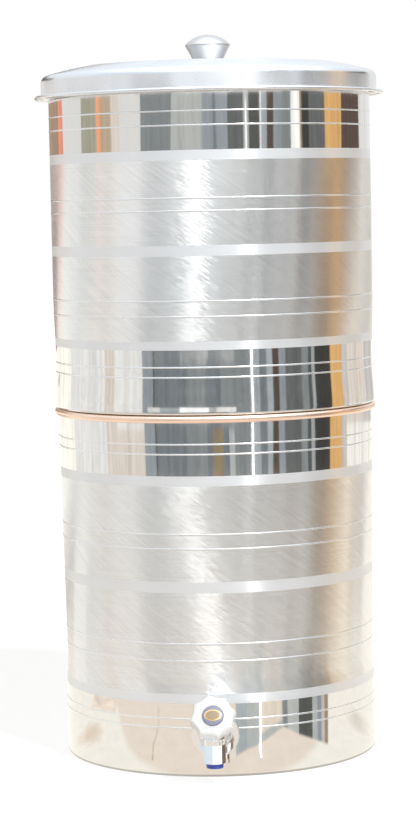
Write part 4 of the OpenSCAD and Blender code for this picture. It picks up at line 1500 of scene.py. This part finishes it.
def white_world(scene):
    """White to the camera, and softer as a light. In reflections it is a pale sky, brightest overhead
    and round the sun."""
    world = bpy.data.worlds.new("studio")
    tree = bare_tree(world)
    way = add(tree, "ShaderNodeTexCoord").outputs["Generated"]
    up = add(tree, "ShaderNodeSeparateXYZ", {0: way}).outputs["Z"]
    near_sun = add(tree, "ShaderNodeVectorMath", {0: way, 1: SUN_AT}, operation="DOT_PRODUCT")
    halo = add(tree, "ShaderNodeMapRange", {
        "Value": near_sun.outputs["Value"], "From Min": 0.5, "From Max": 1.0,
        "To Min": 1.0, "To Max": 2.1}, interpolation_type="SMOOTHSTEP")
    overhead = add(tree, "ShaderNodeMapRange", {
        "Value": up, "From Min": 0.72, "From Max": 0.92, "To Min": 1.0, "To Max": 1.5})
    power = add(tree, "ShaderNodeMath", {0: halo.outputs["Result"], 1: overhead.outputs["Result"]},
                operation="MULTIPLY")
    haze = (*colour("#f6f5f3"), 1)
    zenith = (*(1.5 * c for c in colour("#e6eef8")), 1)
    white = (1, 1, 1, 1)
    sky = add(tree, "ShaderNodeMix", {"Factor": up, 6: haze, 7: zenith}, data_type="RGBA").outputs[2]
    mirrored = add(tree, "ShaderNodeBackground", {"Color": sky, "Strength": power.outputs["Value"]})
    plain = add(tree, "ShaderNodeBackground", {"Color": white, "Strength": 1.0}).outputs[0]
    lighting = add(tree, "ShaderNodeBackground", {"Color": white, "Strength": 0.4})
    glossy = by_ray(tree, "Is Glossy Ray", lighting.outputs[0], mirrored.outputs[0])
    clear = by_ray(tree, "Is Transmission Ray", glossy, plain)
    seen = by_ray(tree, "Is Camera Ray", clear, plain)
    add(tree, "ShaderNodeOutputWorld", {"Surface": seen})
    scene.world = world


def place_sun():
    """The sun, which gives the soft shadow and the highlights of the brushed bands."""
    sun = bpy.data.lights.new("sun", "SUN")
    sun.energy = 2.0
    sun.angle = math.radians(5)
    lamp = linked("sun", sun)
    lamp.rotation_euler = SUN_AT.to_track_quat("Z", "Y").to_euler()


def place_camera(scene, look):
    """The camera stands a little right of the tap, turned to the drums' axis."""
    orbit, pan, pitch, roll = (math.radians(a) for a in (2.3, -0.16, 4.53, -1.22))
    ahead = Vector((math.sin(pan) * math.cos(pitch), math.cos(pan) * math.cos(pitch), -math.sin(pitch)))
    right = Vector((math.cos(pan), -math.sin(pan), 0))
    up = right.cross(ahead)
    level = right * math.cos(roll) + up * math.sin(roll)
    top = up * math.cos(roll) - right * math.sin(roll)
    turned_to = Matrix((level, top, -ahead)).transposed()
    view = Matrix.Translation((0, -look.camera_distance, look.camera_height)) @ turned_to.to_4x4()
    data = bpy.data.cameras.new("camera")
    data.lens = look.camera_lens
    data.sensor_width = 36
    data.clip_end = 50
    camera = linked("camera", data)
    camera.matrix_world = Matrix.Rotation(orbit, 4, "Z") @ view
    scene.camera = camera


class FILTER_OT_stage(bpy.types.Operator):
    """Set the floor, the lights, the reflection cards and the camera"""

    bl_idname = "filter.stage"
    bl_label = "Studio"

    def execute(self, context):
        scene = context.scene
        scene.view_settings.view_transform = "Standard"
        white_world(scene)
        set_floor(scene.filter_stage)
        yard(scene.filter_stage)
        place_sun()
        place_camera(scene, scene.filter_stage)
        return {"FINISHED"}


# ---------- add-on ----------


class FILTER_PT_panel(bpy.types.Panel):
    """Builds the water filter piece by piece"""

    bl_idname = "FILTER_PT_panel"
    bl_label = "Water Filter"
    bl_space_type = "VIEW_3D"
    bl_region_type = "UI"
    bl_category = "Water Filter"

    def draw(self, context):
        for group in SETTINGS:
            settings = getattr(context.scene, group)
            box = self.layout.box()
            for name in settings.bl_rna.properties.keys():
                if name not in {"rna_type", "name"}:
                    box.prop(settings, name)
        for operator in OPERATORS:
            self.layout.operator(operator.bl_idname)


SETTINGS = {
    "filter_drums": FilterDrumSettings,
    "filter_lid": FilterLidSettings,
    "filter_ring": FilterRingSettings,
    "filter_tap": FilterTapSettings,
    "filter_stage": FilterStageSettings,
}
OPERATORS = (FILTER_OT_drums, FILTER_OT_lines, FILTER_OT_ring, FILTER_OT_lid, FILTER_OT_tap,
             FILTER_OT_handle, FILTER_OT_inner, FILTER_OT_stage)


def register():
    for name, settings in SETTINGS.items():
        bpy.utils.register_class(settings)
        setattr(bpy.types.Scene, name, PointerProperty(type=settings))
    for kind in (*OPERATORS, FILTER_PT_panel):
        bpy.utils.register_class(kind)


def unregister():
    for kind in reversed((*OPERATORS, FILTER_PT_panel)):
        bpy.utils.unregister_class(kind)
    for name, settings in reversed(SETTINGS.items()):
        delattr(bpy.types.Scene, name)
        bpy.utils.unregister_class(settings)


def main():
    register()
    bpy.ops.filter.drums()
    bpy.ops.filter.lines()
    bpy.ops.filter.ring()
    bpy.ops.filter.lid()
    bpy.ops.filter.tap()
    bpy.ops.filter.handle()
    bpy.ops.filter.inner()
    bpy.ops.filter.stage()


if __name__ == "__main__":
    main()
